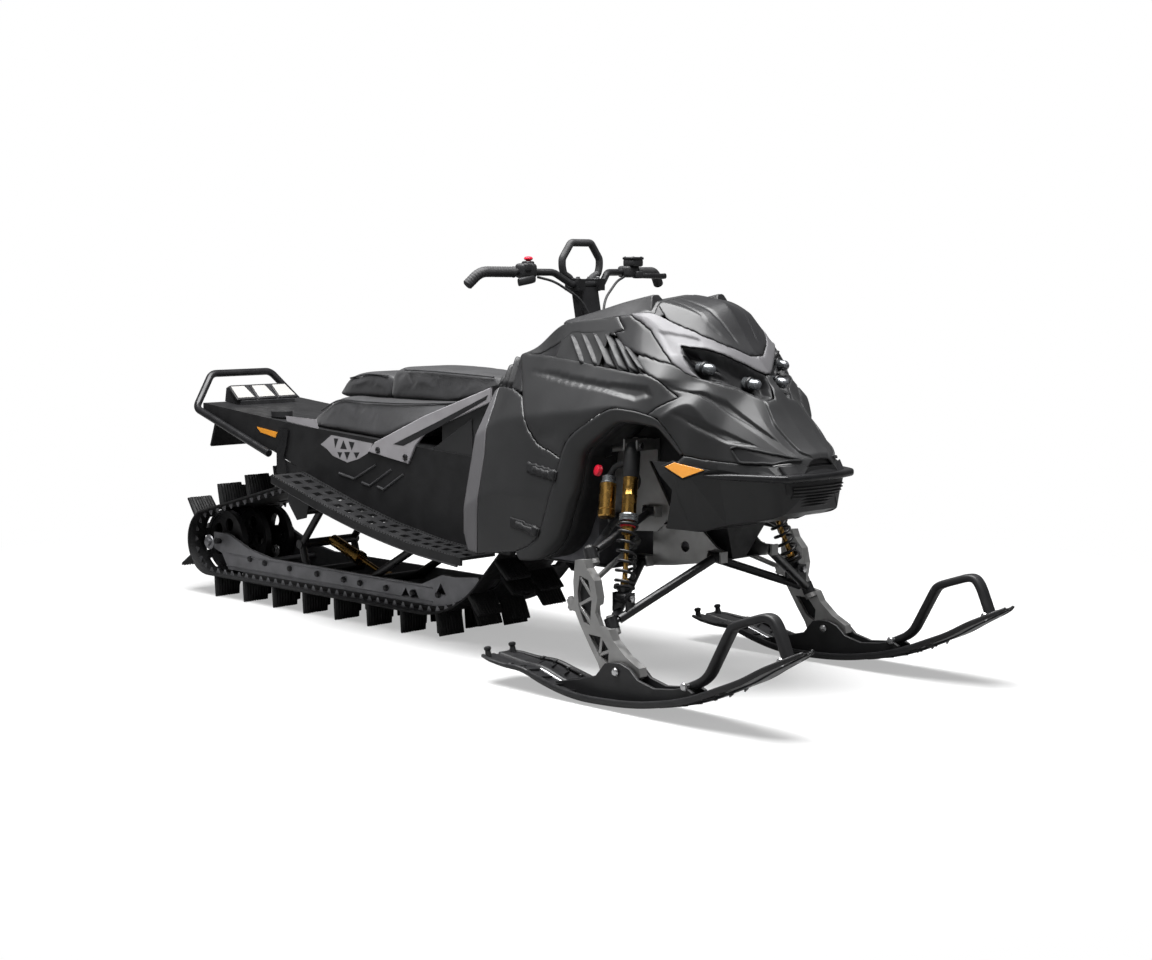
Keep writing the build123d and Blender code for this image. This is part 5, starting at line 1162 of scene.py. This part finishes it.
def belt_line():
    """The belt's outside as a closed line: tangents between the circles and arcs round them, with the
    outward angle and the distance run at each point."""
    circles = np.array(BELT_CIRCLES, float)
    following = np.roll(circles, -1, axis=0)
    run = following[:, :2] - circles[:, :2]
    reach = np.linalg.norm(run, axis=1)
    leave = np.arctan2(run[:, 1], run[:, 0]) + np.arccos((circles[:, 2] - following[:, 2]) / reach)
    angles = []
    for circle, arrive, gone in zip(circles, np.roll(leave, 1), leave):
        turn = (arrive - gone) % (2 * np.pi)
        a = arrive - np.linspace(0, turn, 60)
        angles.append(np.stack([circle[0] + circle[2] * np.cos(a), circle[1] + circle[2] * np.sin(a), a], -1))
    line = np.vstack(angles)
    line = np.vstack([line, line[:1]])
    line[:, 2] = np.unwrap(line[:, 2])
    gone = np.append(0, np.cumsum(np.linalg.norm(np.diff(line[:, :2], axis=0), axis=1)))
    return line, gone


BELT_RUN, BELT_GONE = belt_line()


def belt_places(distance):
    """Points and outward angles at distances along the belt."""
    at = np.mod(distance, BELT_GONE[-1])
    return np.stack([np.interp(at, BELT_GONE, BELT_RUN[:, k]) for k in range(3)], -1)


def belt_frame(distance):
    """The point, the outward and the onward direction at a distance along the belt."""
    x, z, angle = belt_places(distance)
    return (np.array([x, 0, z]), np.array([np.cos(angle), 0, np.sin(angle)]),
            np.array([np.sin(angle), 0, -np.cos(angle)]))


# The belt's section: places across as shares of its half width, and the ridges near its edges
BELT_ACROSS = np.array([-1, -0.985, -0.96, -0.93, -0.74, -0.62, -0.47, -0.3, 0, 0.3, 0.47, 0.62, 0.74, 0.93, 0.96,
                        0.985, 1])
BELT_RIDGE = 1.6
PER_ROW = 12  # rows of the belt's grid for each row of paddles
CLIP_Y = 172.0


class SNOW_OT_track(bpy.types.Operator):
    """Track: belt with drive windows and edge ridges, ribbed paddles and guide clips"""
    bl_idname = "snow.track"
    bl_label = "Track"

    def belt(self, look, pitch, start):
        """Belt sheet over (along, across), with a window left out on each side between the rows."""
        place = belt_places(start + np.arange(look.rows * PER_ROW) * pitch / PER_ROW)
        x, z, angle = place.T[..., None]
        count = len(BELT_ACROSS)
        ridge = np.where(np.isin(np.arange(count), (1, 2, count - 3, count - 2)), 0, -BELT_RIDGE)
        grid = np.stack([x + ridge * np.cos(angle), BELT_ACROSS * look.half_width / MM + 0 * x,
                         z + ridge * np.sin(angle)], -1)
        quads = grid_faces(len(place), count, wrap_u=True)
        i, j = quads[:, 0] // count, quads[:, 0] % count
        window = (np.abs(np.mod(i, PER_ROW) - (PER_ROW - 1) / 2) < 4) & np.isin(j, (5, 10))
        return grid, quads[~window]

    def paddle(self, look, row, sign, frame_at):
        """Closed grid of one paddle: levels outwards, each a ribbed loop, with a jagged tip."""
        point, out, way = frame_at
        half = PADDLE_LENGTH / 2
        across = np.linspace(-half, half, 57)
        rib = np.abs(np.sin(np.pi * across / (look.rib_pitch / MM))) ** 0.7
        ends = np.clip((half - np.abs(across)) / 5.0, 0, 1) ** 0.5
        tip = look.paddle / MM
        levels = np.array([-3.0, 4.0, 26.0, 50.0, tip - 1.5, tip])
        thick = np.interp(levels, [-4, 6, 76], [9.0, 6.2, 3.2])[:, None]
        face = (thick - 1.0 + 4.4 * rib * np.interp(levels, [-3, 10, 76], [0, 1, 1])[:, None]) * ends + 1.0
        depth = np.concatenate([face, -face[:, ::-1]], 1)
        loop = np.concatenate([across, across[::-1]]) * np.interp(levels, [0, 76], [1.0, 0.95])[:, None]
        centre = look.half_width / MM - half - 1 if row % 2 == 0 else half + 8
        grid = (point + (0, sign * centre, 0) + levels[:, None, None] * out + depth[..., None] * way
                + loop[..., None] * (0, 1.0, 0))
        grid[-2:] += (np.concatenate([rib, rib[::-1]]) * 4.0 - 4.0)[:, None] * out
        grid[-1] -= depth[-1][..., None] * way * 0.3
        return grid

    def execute(self, context):
        look = context.scene.snow_track
        pitch = BELT_GONE[-1] / look.rows
        start = (BELT_RUN[0, 2] - np.pi) * BELT_CIRCLES[0][2]
        belt = weld(make_piece("track_belt", *self.belt(look, pitch, start), "track_rubber", CHASSIS, 40))
        done(add_wall(belt, look.belt / MM - BELT_RIDGE), "track")
        paddles, clips = [], []
        for row in range(look.rows):
            for sign in (-1, 1):
                paddles.append(self.paddle(look, row, sign, belt_frame(start + row * pitch)))
                for step in (0.25, 0.75):
                    foot, out, way = belt_frame(start + (row + step) * pitch)
                    foot = foot + (0, sign * CLIP_Y, 0) - 7.5 * out
                    clips.append([foot - 12 * way, foot + 12 * way, foot + 3 * way - 17 * out,
                                  foot - 3 * way - 17 * out])
        done(closed_forms("track_paddles", paddles, "track_rubber", smooth=40))
        done(plate("track_clips", clips, (0, 1, 0), 2, "rail_alu"))
        return {"FINISHED"}


RAIL_BOLTS = [(-1250, 152), (-1160, 146), (-1010, 142), (-850, 140), (-700, 136), (-610, 134), (-470, 132),
              (-330, 132), (-200, 140)]
RAIL_BOLT = [(-2, 11), (2, 11), (3, 9), (7, 9), (8, 7), (8, 2)]
AXLE_NUT = [(0, 26), (3, 28), (6, 26), (7, 15), (16, 14), (18, 9), (18, 2)]


class SNOW_OT_skid_details(bpy.types.Operator):
    """Rail bolts, beads along the rails and the nuts of the rear axle"""
    bl_idname = "snow.skid_details"
    bl_label = "Skid details"

    def execute(self, context):
        x = np.linspace(-1400, -230, 90)
        bead = ring(1.2, 10, 2.2 / 1.2)
        for side, sign in SIDES:
            bolts = [(x, sign * 148.5, z) for x, z in RAIL_BOLTS]
            done(turned(f"rail_bolts_{side}", bolts, (0, sign, 0), RAIL_BOLT, "black_steel", sides=14))
            lines = [np.stack(np.broadcast_arrays(x, sign * 148.0, z), -1) for z in (112.0, 158.0)]
            done(closed_forms(f"rail_beads_{side}", [swept(line, bead) for line in lines], "rail_alu", smooth=40))
            done(turned(f"axle_nuts_{side}", [(-1450, sign * 186.0, 200)], (0, sign, 0), AXLE_NUT, "rail_alu",
                        sides=24))
        return {"FINISHED"}


# ---------------------------------------------------------------- seat


class SeatSettings(bpy.types.PropertyGroup):
    """How the seat pads are stuffed."""

    cell: FloatProperty(name="Cell", description="Size of the cells that the cloth is cut into", default=0.008,
                        unit="LENGTH")
    pressure: FloatProperty(name="Pressure", description="Air pressure in the pads", default=3.0)
    swell: FloatProperty(name="Swell", description="Furthest that a point of a pad moves", default=0.005,
                         unit="LENGTH")


# Stations of the pads: along the machine, underside, top, half width below and above, in millimetres
PAD_BASE = [(-838, 690, 698, 150, 140), (-822, 680, 704, 182, 166), (-770, 670, 730, 204, 176),
            (-671, 662, 773, 210, 172), (-540, 654, 774, 210, 166), (-405, 650, 776, 214, 162),
            (-300, 690, 776, 212, 158), (-200, 728, 778, 206, 152), (-120, 748, 782, 196, 146),
            (-30, 762, 796, 170, 130), (60, 790, 826, 140, 112), (100, 812, 838, 118, 96)]
PAD_HUMP = [(-776, 777, 784, 96, 84), (-760, 777, 798, 112, 96), (-702, 777, 842, 120, 102),
            (-600, 778, 861, 120, 104), (-500, 780, 858, 118, 100), (-474, 782, 846, 110, 96)]
PAD_TOP = [(-480, 784, 846, 112, 100), (-462, 781, 874, 124, 108), (-400, 779, 884, 128, 110),
           (-280, 779, 885, 128, 110), (-171, 779, 882, 126, 106), (-60, 798, 876, 120, 98), (20, 826, 870, 112, 92),
           (66, 840, 862, 98, 82)]

SIM_FRAMES = 20
PIPING_SHARE = 0.93  # how far up a pad its seam runs


def pad_form(stations, around=40, along=60):
    """Closed lofted pad: each section is a rounded trapezium, a superellipse of power 10 whose half width
    falls from the lower to the upper value."""
    x, low, high, wide, narrow = curve_through(stations, along).T[..., None]
    cy, cz = soft_ring(around, 0.2, 1.0, 1.0).T
    share = (cz + 1) / 2
    half = wide * (1 - share) + narrow * share
    return np.stack(np.broadcast_arrays(x, half * cy, low + (high - low) * share), -1)


def blow_up(piece, look):
    """Cuts a pad into even cells and blows it up as cloth, each point moved no further than the swell."""
    bpy.context.view_layer.objects.active = piece
    remesh = piece.modifiers.new("cells", "REMESH")
    remesh.mode = "VOXEL"
    remesh.voxel_size = look.cell
    remesh.use_smooth_shade = True
    bpy.ops.object.modifier_apply(modifier=remesh.name)
    rest = np.empty(len(piece.data.vertices) * 3)
    blown = np.empty_like(rest)
    piece.data.vertices.foreach_get("co", rest)
    cloth = piece.modifiers.new("air", "CLOTH")
    cloth.settings.use_pressure = True
    cloth.settings.uniform_pressure_force = look.pressure
    cloth.settings.effector_weights.gravity = 0.0
    for moment in range(1, SIM_FRAMES + 1):
        bpy.context.scene.frame_set(moment)
    worked = piece.evaluated_get(bpy.context.evaluated_depsgraph_get()).to_mesh()
    worked.vertices.foreach_get("co", blown)
    piece.modifiers.remove(cloth)
    move = (blown - rest).reshape(-1, 3)
    length = np.linalg.norm(move, axis=1)[:, None]
    move *= np.minimum(1.0, look.swell / np.maximum(length, 1e-9))
    piece.data.vertices.foreach_set("co", (rest.reshape(-1, 3) + move).ravel())
    piece.data.update()
    bpy.context.scene.frame_set(1)


class SNOW_OT_seat(bpy.types.Operator):
    """Seat: base pad, rear bag and raised front pad, with their seams"""
    bl_idname = "snow.seat"
    bl_label = "Seat"

    def execute(self, context):
        for name, stations, packed in (("seat_base_pad", PAD_BASE, "seat_base"),
                                       ("seat_rear_bag", PAD_HUMP, "seat_hump"),
                                       ("seat_front_pad", PAD_TOP, "seat_cushion")):
            piece = closed_forms(name, [pad_form(stations)], "seat_vinyl", smooth=180)
            blow_up(piece, context.scene.snow_seat)
            smooth = piece.modifiers.new("smooth", "SUBSURF")
            smooth.levels = 1
            smooth.render_levels = 1
            done(piece, packed)
            x, low, high, wide, narrow = curve_through(stations[2:-1], 80).T
            half = wide * (1 - PIPING_SHARE) + narrow * PIPING_SHARE + 3.0
            height = low + (high - low) * PIPING_SHARE + 2.0
            seam = np.stack([x, half, height], -1)
            done(tube(f"{name}_piping", both([seam]), 2.8, "seat_stitch", sides=8))
        return {"FINISHED"}


# ---------------------------------------------------------------- bars


BAR_LINE = np.array([(258, 428, 1164), (276, 388, 1206), (318, 120, 1204)], float)
LEFT_CONTROL = np.array([301.4, 226.0, 1204.8])
RIGHT_CONTROL = LEFT_CONTROL * TWICE
STRAP = np.array([(318, 44, 1172), (318, 48, 1186), (318, 76, 1199), (318, 83, 1222), (318, 83, 1246),
                  (318, 44, 1296)], float)
THROTTLE = RIGHT_CONTROL + np.array([(20, 20, -20), (34, -6, -23), (42, -34, -26), (40, -66, -31)], float)
BRAKE = LEFT_CONTROL + np.array([(34, 10, -10), (46, 44, -11), (50, 84, -12), (46, 118, -13), (43, 139, -12)],
                                float)
LEVER = ring(5.0, 16, 12 / 5)
CLAMP_BOLT = [(-2, 6), (4, 6), (5, 4.5), (5, 1)]
STOP_SWITCH = [(-4, 8), (3, 8), (4, 12), (8, 14), (11, 13), (14, 9), (15, 2)]
LID_SCREW = [(-1, 3.6), (2, 3.6), (2.6, 2.6), (2.6, 0.6)]
RIB_PITCH = 9.0  # of the grips


def rounded_block(centre, half, axis, power=5.0, around=28, along=15):
    """Closed block with soft edges: a superellipse section whose size follows a superellipse along `axis`."""
    v = np.sin(np.linspace(-np.pi / 2, np.pi / 2, along))[:, None] * 0.999
    size = (1 - np.abs(v) ** power) ** (1 / power)
    c, s = soft_ring(around, 2 / power, 1.0, 1.0).T
    grid = np.zeros((along, around, 3))
    for k, form in ((axis + 1, size * c), (axis + 2, size * s), (axis, v)):
        grid[..., k % 3] = half[k % 3] * form
    return grid + np.asarray(centre, float)


def blocks(name, forms, material, body=BARS):
    """Rounded blocks in one piece, each (centre, half size, axis)."""
    return closed_forms(name, [rounded_block(*form) for form in forms], material, body)


class SNOW_OT_bars(bpy.types.Operator):
    """Bars: ribbed hooked grips, centre strap, switch block with throttle, brake with its reservoir"""
    bl_idname = "snow.bars"
    bl_label = "Bars"

    def grips(self):
        """Ribbed sleeves along the bar ends: the radius swells in rings and flares at both ends."""
        path = rounded_line(np.vstack([BAR_LINE[:2], BAR_LINE[1] * 0.55 + BAR_LINE[2] * 0.45]), 25.0, 14)
        gone = np.append(0, np.cumsum(np.linalg.norm(np.diff(path, axis=0), axis=1)))
        even = np.linspace(0, gone[-1], 110)
        path = np.stack([np.interp(even, gone, path[:, k]) for k in range(3)], -1)
        rings = 1 + 0.055 * (np.abs(np.sin(np.pi * even / RIB_PITCH)) ** 0.6)
        flare = 1 + 0.12 * np.exp(-((even - gone[-1]) / 4.0) ** 2) - 0.25 * np.exp(-(even / 2.5) ** 2)
        grids = [swept(line, ring(15.6, 20), scale=rings * flare) for line in both([path])]
        return closed_forms("bar_grips", grids, "grip_rubber", BARS, 40)

    def execute(self, context):
        right, left = RIGHT_CONTROL, LEFT_CONTROL
        done(self.grips(), "grips")
        loop = rounded_line(np.vstack([STRAP * TWICE, STRAP[::-1]]), 8.0, 6)
        done(tube("strap_ring", [loop], 11.8, "grip_rubber", BARS, 18, up=(1, 0, 0)), "strap_loop")
        done(blocks("bar_clamps", [(c, (30, 13, 21), 0) for c in both([(330, 44, 1166)])], "black_steel"))
        bolts = both([(311, 44, 1186), (349, 44, 1186)])
        done(turned("bar_clamp_bolts", bolts, UP, CLAMP_BOLT, "bolt_steel", BARS, 14))
        done(blocks("switch_housing", [(right + (4, 0, 4), (24, 30, 23), 1), (right + (-2, 14, 22), (17, 15, 12), 2),
                                       (right + (16, -12, 14), (16, 14, 13), 1)], "trim_black"), "throttle_block")
        done(blocks("switch_seam", [(right + (4, 8, 4), (24.6, 1.3, 23.6), 1)], "mesh_black"))
        done(closed_forms("throttle_paddle", [swept(curve_through(THROTTLE, 24), LEVER)], "trim_black", BARS))
        done(turned("stop_switch", [right + (0, 14, 33)], UP, STOP_SWITCH, "red_switch", BARS, 24))
        done(blocks("brake_housing", [(left + (10, 0, 2), (27, 30, 19), 1), (left + (34, 18, -8), (13, 18, 12), 1),
                                      (left + (22, 8, 30), (24, 28, 13), 0)], "trim_black"), "brake_lever")
        done(blocks("reservoir_lid", [(left + (22, 8, 44), (26, 30, 5), 2)], "black_steel"))
        blade = swept(curve_through(BRAKE, 30), LEVER * (1.1, 0.75))
        done(closed_forms("brake_lever_blade", [blade], "black_steel", BARS))
        screws = [left + (22 + dx, 8 + dy, 48) for dx in (-17, 17) for dy in (-20, 20)]
        done(turned("lid_screws", screws, UP, LID_SCREW, "bolt_steel", BARS, 12))
        return {"FINISHED"}


# ---------------------------------------------------------------- tunnel and rear


TUNNEL_FACE = 225.0
SIDE_GRAPHIC = [(-720, 614), (-660, 650), (-438, 634), (-467, 599), (-516, 577), (-574, 561), (-653, 579),
                (-686, 601)]
GRAPHIC_CUTS = [[(-646, 640), (-622, 640), (-640, 606)], [(-612, 606), (-594, 636), (-576, 606)],
                [(-566, 634), (-534, 632), (-550, 604)], [(-628, 594), (-602, 594), (-615, 574)],
                [(-590, 596), (-560, 598), (-576, 570)], [(-540, 598), (-508, 600), (-526, 578)]]
CHEVRONS = [[(-620, 521), (-538, 508), (-423, 563)], [(-497, 498), (-456, 491), (-343, 553)],
            [(-416, 491), (-384, 483), (-281, 542)]]
BOARD_LINE = [(-811, 509), (-534, 431), (-301, 377), (-78, 340), (140, 318)]
REAR_LENS = [(-1086, 655), (-964, 643), (-978, 623), (-1064, 637)]
DECK_PANEL = [(-918, 703), (-743, 699), (-731, 667), (-909, 684)]
STRUT_BOLTS = [(-402, 615), (-262, 600)]
STRUT_BOLT = [(-1, 11), (3, 11), (5, 9), (6, 6), (4, 5), (4, 1)]
STRUT_SLOT = [(-322, 640), (-272, 637), (-90, 710), (129, 806), (140, 822), (-100, 726)]
BRACKET = [(-950, 654), (-897, 655), (-908, 600), (-925, 560), (-905, 489), (-966, 497), (-966, 563)]
TANK_COVER = [(-139, 636), (46, 742), (56, 598), (-123, 614)]
BOARD_OUT = 143.0  # from the tunnel's side to a board's outer edge
TOOTH_PITCH = 7.0

# The pads on the tail lamp: the deck's slope behind the ridge, as a direction along it and one off it
DECK_RIDGE = np.array([-1400.0, 0.0, 784.2])
DECK_SLOPE = np.array([76.0, 0.0, -52.8]) / np.hypot(76.0, 52.8)
DECK_OUT = np.array([-DECK_SLOPE[2], 0.0, DECK_SLOPE[0]])
# Piece, nearest and furthest places down the slope, half width, stand, thickness, finish, rounded edge
LAMP_PADS = (("lamp_pad_frames", 4.0, 88.0, 45.0, -3.0, 9, "trim_black", 3.0),
             ("lamp_pads", 12.0, 80.0, 37.0, 5.0, 3, "pad_pale", 1.0))


def on_side(places, sign, stand):
    """Places on a tunnel side, standing off it."""
    return np.array([(x, sign * (TUNNEL_FACE + stand), z) for x, z in places])


class SNOW_OT_tunnel_details(bpy.types.Operator):
    """Tunnel sides: plain graphic, pressed chevrons, strut bolts and slot, reflectors, board teeth"""
    bl_idname = "snow.tunnel_details"
    bl_label = "Tunnel details"

    def side(self, side, sign):
        """What one side of the tunnel carries."""
        def flat(name, outlines, stand, thick, material):
            forms = [on_side(outline, sign, stand) for outline in outlines]
            return plate(f"{name}_{side}", forms, (0, sign, 0), thick, material)

        line = np.array(BOARD_LINE, float)
        x = np.arange(line[0, 0], line[-1, 0], TOOTH_PITCH)
        z = np.interp(x, line[:, 0], line[:, 1])
        tooth = np.where(np.arange(len(x)) % 2 == 0, 0.5, 9.0)
        strip = np.concatenate([np.stack([x, z + tooth], -1), np.stack([x, z - 3], -1)[::-1]])
        done(flat("side_graphic", [SIDE_GRAPHIC], -0.2, 1.0, "strut_grey"))
        done(flat("graphic_cuts", GRAPHIC_CUTS, 0.4, 0.9, "mesh_black"), slot="tunnel_black")
        done(tube(f"side_chevrons_{side}", [on_side(c, sign, 0.4) for c in CHEVRONS], 4.5, "board_edge", sides=8))
        done(flat("reflector_rear", [REAR_LENS], -0.2, 3, "reflector_amber"))
        done(flat("deck_panel", [DECK_PANEL], -0.2, 0.8, "strut_grey"))
        done(turned(f"strut_bolts_{side}", on_side(STRUT_BOLTS, sign, 8.0), (0, sign, 0), STRUT_BOLT,
                    "black_steel", sides=20))
        # A near-black plate where the strut's slot opens: the dark parts behind it and painted shade.
        done(flat("strut_slot", [STRUT_SLOT], 7.8, 0.8, "mesh_black"), slot="strut_grey")
        for edge, stand in (("inner", 14.0), ("outer", BOARD_OUT)):
            done(flat(f"board_teeth_{edge}", [strip], stand, 3, "trim_black"), slot="tunnel_black")
        run = curve_through(line - (0, 18), 60)
        done(tube(f"board_rail_{side}", [on_side(run, sign, BOARD_OUT)], 5.0, "board_edge", sides=12, squash=1.8))
        done(flat("bumper_bracket", [BRACKET], 1.0, 6, "black_steel"))
        done(round_edges(flat("tank_side", [TANK_COVER], -9.0, 4, "body_black"), 1.5, 2, 30))

    def execute(self, context):
        for side, sign in SIDES:
            self.side(side, sign)
        for name, near, far, half, stand, thick, material, edge in LAMP_PADS:
            low, high = (DECK_RIDGE + DECK_SLOPE * place + DECK_OUT * stand for place in (far, near))
            forms = [[low + (0, y - half, 0), low + (0, y + half, 0), high + (0, y + half * 0.8, 0),
                      high + (0, y - half * 0.8, 0)] for y in (-94.0, 0.0, 94.0)]
            done(round_edges(plate(name, forms, DECK_OUT, thick, material), edge, 2, 30))
        return {"FINISHED"}


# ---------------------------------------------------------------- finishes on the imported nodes


NODE_FINISH = {packed: material for material, nodes in {
    "track_rubber": "track snow_flap",
    "rail_alu": "skid_rails",
    "slide_plastic": "skid_slides",
    "wheel_plastic": "rear_wheels upper_wheels drive_sprockets",
    "black_steel": "skid_arms rear_bumper lower_arm upper_arm front_springs handlebar riser",
    "shock_gold": "skid_shocks front_shock",
    "tunnel_black": "tunnel running_board",
    "trim_black": "tail_lamp cargo_anchors front_bumper belly_pan ski_loop throttle_block brake_lever",
    "seat_vinyl": "seat_base seat_hump seat_cushion",
    "body_black": "fuel_tank side_panel console hood front_fascia",
    "strut_grey": "side_strut",
    "visor_black": "visor",
    "body_grey": "lamp_surround",
    "lamp_glass": "headlamps",
    "cast_silver": "front_frame spindle tie_rod",
    "engine_metal": "engine",
    "ski_black": "ski",
    "grip_rubber": "strap_loop grips",
    "cable_black": "control_cables",
}.items() for packed in nodes.split()}


class SNOW_OT_node_finishes(bpy.types.Operator):
    """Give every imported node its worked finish"""
    bl_idname = "snow.node_finishes"
    bl_label = "Finish the packed nodes"

    def execute(self, context):
        make_finishes(context.scene.snow_finish)
        for name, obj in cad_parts.items():
            stem = name.removesuffix("_right").removesuffix("_left")
            obj.data.materials.clear()
            obj.data.materials.append(FINISHES[NODE_FINISH[stem]])
        return {"FINISHED"}


# ---------------------------------------------------------------- studio


FLOOR_HALF = 30.0  # metres, as all that follows in the studio
FLOOR_DROP = 0.0005
WHITE_FROM, WHITE_TO = 1.7, 3.2  # distance from the middle over which the floor turns white
WHITE_NEAR = 0.42  # share of white in the floor close to the machine
UNSEEN_FLOOR = 0.3  # brightness of the floor as the machine sees it, of the camera's
# Lamps: place, what they face, length and width
LAMPS = {
    "top_lamp": ((0.3, -0.6, 4.2), (0, 0, 0.4), 5.0, 3.2),
    "side_lamp": ((1.2, -5.0, 2.6), (0.1, 0, 0.6), 3.6, 2.2),
    "front_lamp": ((5.4, 1.2, 2.4), (0.6, 0, 0.6), 2.6, 2.0),
}
FRONT_SHARE = 0.6  # power of the front lamp, of the side lamp's
SENSOR = 36.0


def area_lamp(name, power):
    """A soft lamp that faces its target."""
    place, target, length, width = LAMPS[name]
    data = bpy.data.lights.new(name, "AREA")
    data.shape = "RECTANGLE"
    data.size = length
    data.size_y = width
    data.energy = power
    lamp = bpy.data.objects.new(name, data)
    lamp.location = place
    lamp.rotation_euler = (Vector(target) - Vector(place)).to_track_quat("-Z", "Y").to_euler()
    bpy.context.scene.collection.objects.link(lamp)


def white_away(tree, grey):
    """Pale floor that turns into plain white away from the machine, as the camera sees it."""
    shader = tree.nodes["Principled BSDF"]
    set_inputs(shader, {"Roughness": 0.9})
    coords = node(tree, "ShaderNodeTexCoord")
    length = node(tree, "ShaderNodeVectorMath", operation="LENGTH")
    fade = node(tree, "ShaderNodeMapRange", {"From Min": WHITE_FROM, "From Max": WHITE_TO, "To Min": WHITE_NEAR},
                interpolation_type="SMOOTHSTEP")
    rays = node(tree, "ShaderNodeLightPath")
    paint = node(tree, "ShaderNodeMapRange", {"To Min": UNSEEN_FLOOR * grey, "To Max": grey})
    share = node(tree, "ShaderNodeMath", operation="MULTIPLY")
    white = node(tree, "ShaderNodeEmission")
    mix = node(tree, "ShaderNodeMixShader")
    link(tree, (rays, "Is Camera Ray", paint, "Value"), (paint, "Result", shader, "Base Color"),
         (coords, "Object", length, 0), (length, "Value", fade, "Value"), (fade, "Result", share, 0),
         (rays, "Is Camera Ray", share, 1), (share, 0, mix, "Fac"), (shader, 0, mix, 1), (white, 0, mix, 2),
         (mix, 0, tree.nodes["Material Output"], "Surface"))


class SNOW_OT_stage(bpy.types.Operator):
    """Floor, even sky, soft lamps and the camera of the photograph"""
    bl_idname = "snow.stage"
    bl_label = "Studio"

    def floor(self, grey):
        """A floor in its paint, just under the machine."""
        mesh = bpy.data.meshes.new("floor")
        mesh.from_pydata([(x * FLOOR_HALF, y * FLOOR_HALF, 0) for x, y in ((-1, -1), (1, -1), (1, 1), (-1, 1))], [],
                         [(0, 1, 2, 3)])
        floor = bpy.data.objects.new("floor", mesh)
        floor.location.z = CAD_BOX[0][2] - FLOOR_DROP
        bpy.context.scene.collection.objects.link(floor)
        material = bpy.data.materials.new("floor_paint")
        material.use_nodes = True
        white_away(material.node_tree, grey)
        mesh.materials.append(material)

    def sky(self, strength):
        """Even light from all round, which the camera and lenses see as plain white."""
        world = bpy.data.worlds.new("studio")
        bpy.context.scene.world = world
        world.use_nodes = True
        tree = world.node_tree
        tree.nodes.clear()
        out = node(tree, "ShaderNodeOutputWorld")
        light = node(tree, "ShaderNodeBackground", {"Color": (1, 1, 1, 1), "Strength": strength})
        white = node(tree, "ShaderNodeBackground", {"Color": (1, 1, 1, 1)})
        rays = node(tree, "ShaderNodeLightPath")
        mix = node(tree, "ShaderNodeMixShader")
        seen = node(tree, "ShaderNodeMath", operation="MAXIMUM")
        link(tree, (rays, "Is Camera Ray", seen, 0), (rays, "Is Transmission Ray", seen, 1), (seen, 0, mix, "Fac"),
             (light, 0, mix, 1), (white, 0, mix, 2), (mix, 0, out, "Surface"))

    def execute(self, context):
        studio = context.scene.snow_studio
        scene = context.scene
        self.floor(studio.floor_grey)
        self.sky(studio.sky)
        area_lamp("top_lamp", studio.key_power)
        area_lamp("side_lamp", studio.side_power)
        area_lamp("front_lamp", studio.side_power * FRONT_SHARE)
        camera = bpy.data.cameras.new("camera")
        camera.sensor_width = SENSOR
        camera.sensor_fit = "HORIZONTAL"
        camera.lens = studio.lens
        camera.clip_end = 200.0
        eye = bpy.data.objects.new("camera", camera)
        eye.location = studio.eye
        eye.rotation_euler = Euler((np.pi / 2 + studio.pitch, 0.0, studio.yaw - np.pi / 2), "XYZ")
        scene.collection.objects.link(eye)
        scene.camera = eye
        scene.view_settings.view_transform = "Standard"
        return {"FINISHED"}


# ---------------------------------------------------------------- panel and register


PIECE_OPERATORS = [
    SNOW_OT_side_panels,
    SNOW_OT_top_panels,
    SNOW_OT_arch_lips,
    SNOW_OT_headlamps,
    SNOW_OT_vents,
    SNOW_OT_nose,
    SNOW_OT_dampers,
    SNOW_OT_skis,
    SNOW_OT_track,
    SNOW_OT_skid_details,
    SNOW_OT_seat,
    SNOW_OT_bars,
    SNOW_OT_tunnel_details,
]


class SNOW_PT_panel(bpy.types.Panel):
    """Lists the pieces of the machine and the studio"""
    bl_idname = "SNOW_PT_panel"
    bl_label = "Snowmobile"
    bl_space_type = "VIEW_3D"
    bl_region_type = "UI"
    bl_category = "Snowmobile"

    def draw(self, context):
        for key in SETTINGS:
            settings = getattr(context.scene, key)
            box = self.layout.box()
            for name in settings.__annotations__:
                box.prop(settings, name)
        for operator in [SNOW_OT_node_finishes, *PIECE_OPERATORS, SNOW_OT_stage]:
            self.layout.operator(operator.bl_idname)


SETTINGS = {"snow_finish": FinishSettings, "snow_body": BodySettings, "snow_front": FrontSettings,
            "snow_track": TrackSettings, "snow_seat": SeatSettings, "snow_studio": StudioSettings}
CLASSES = [*SETTINGS.values(), SNOW_OT_node_finishes, *PIECE_OPERATORS, SNOW_OT_stage, SNOW_PT_panel]


def register():
    for cls in CLASSES:
        bpy.utils.register_class(cls)
    for key, kind in SETTINGS.items():
        setattr(bpy.types.Scene, key, PointerProperty(type=kind))


def unregister():
    for key in SETTINGS:
        delattr(bpy.types.Scene, key)
    for cls in reversed(CLASSES):
        bpy.utils.unregister_class(cls)


def main():
    register()
    bpy.ops.snow.node_finishes()
    for operator in PIECE_OPERATORS:
        group, name = operator.bl_idname.split(".")
        getattr(getattr(bpy.ops, group), name)()
    bpy.ops.snow.stage()


if __name__ == "__main__":
    main()
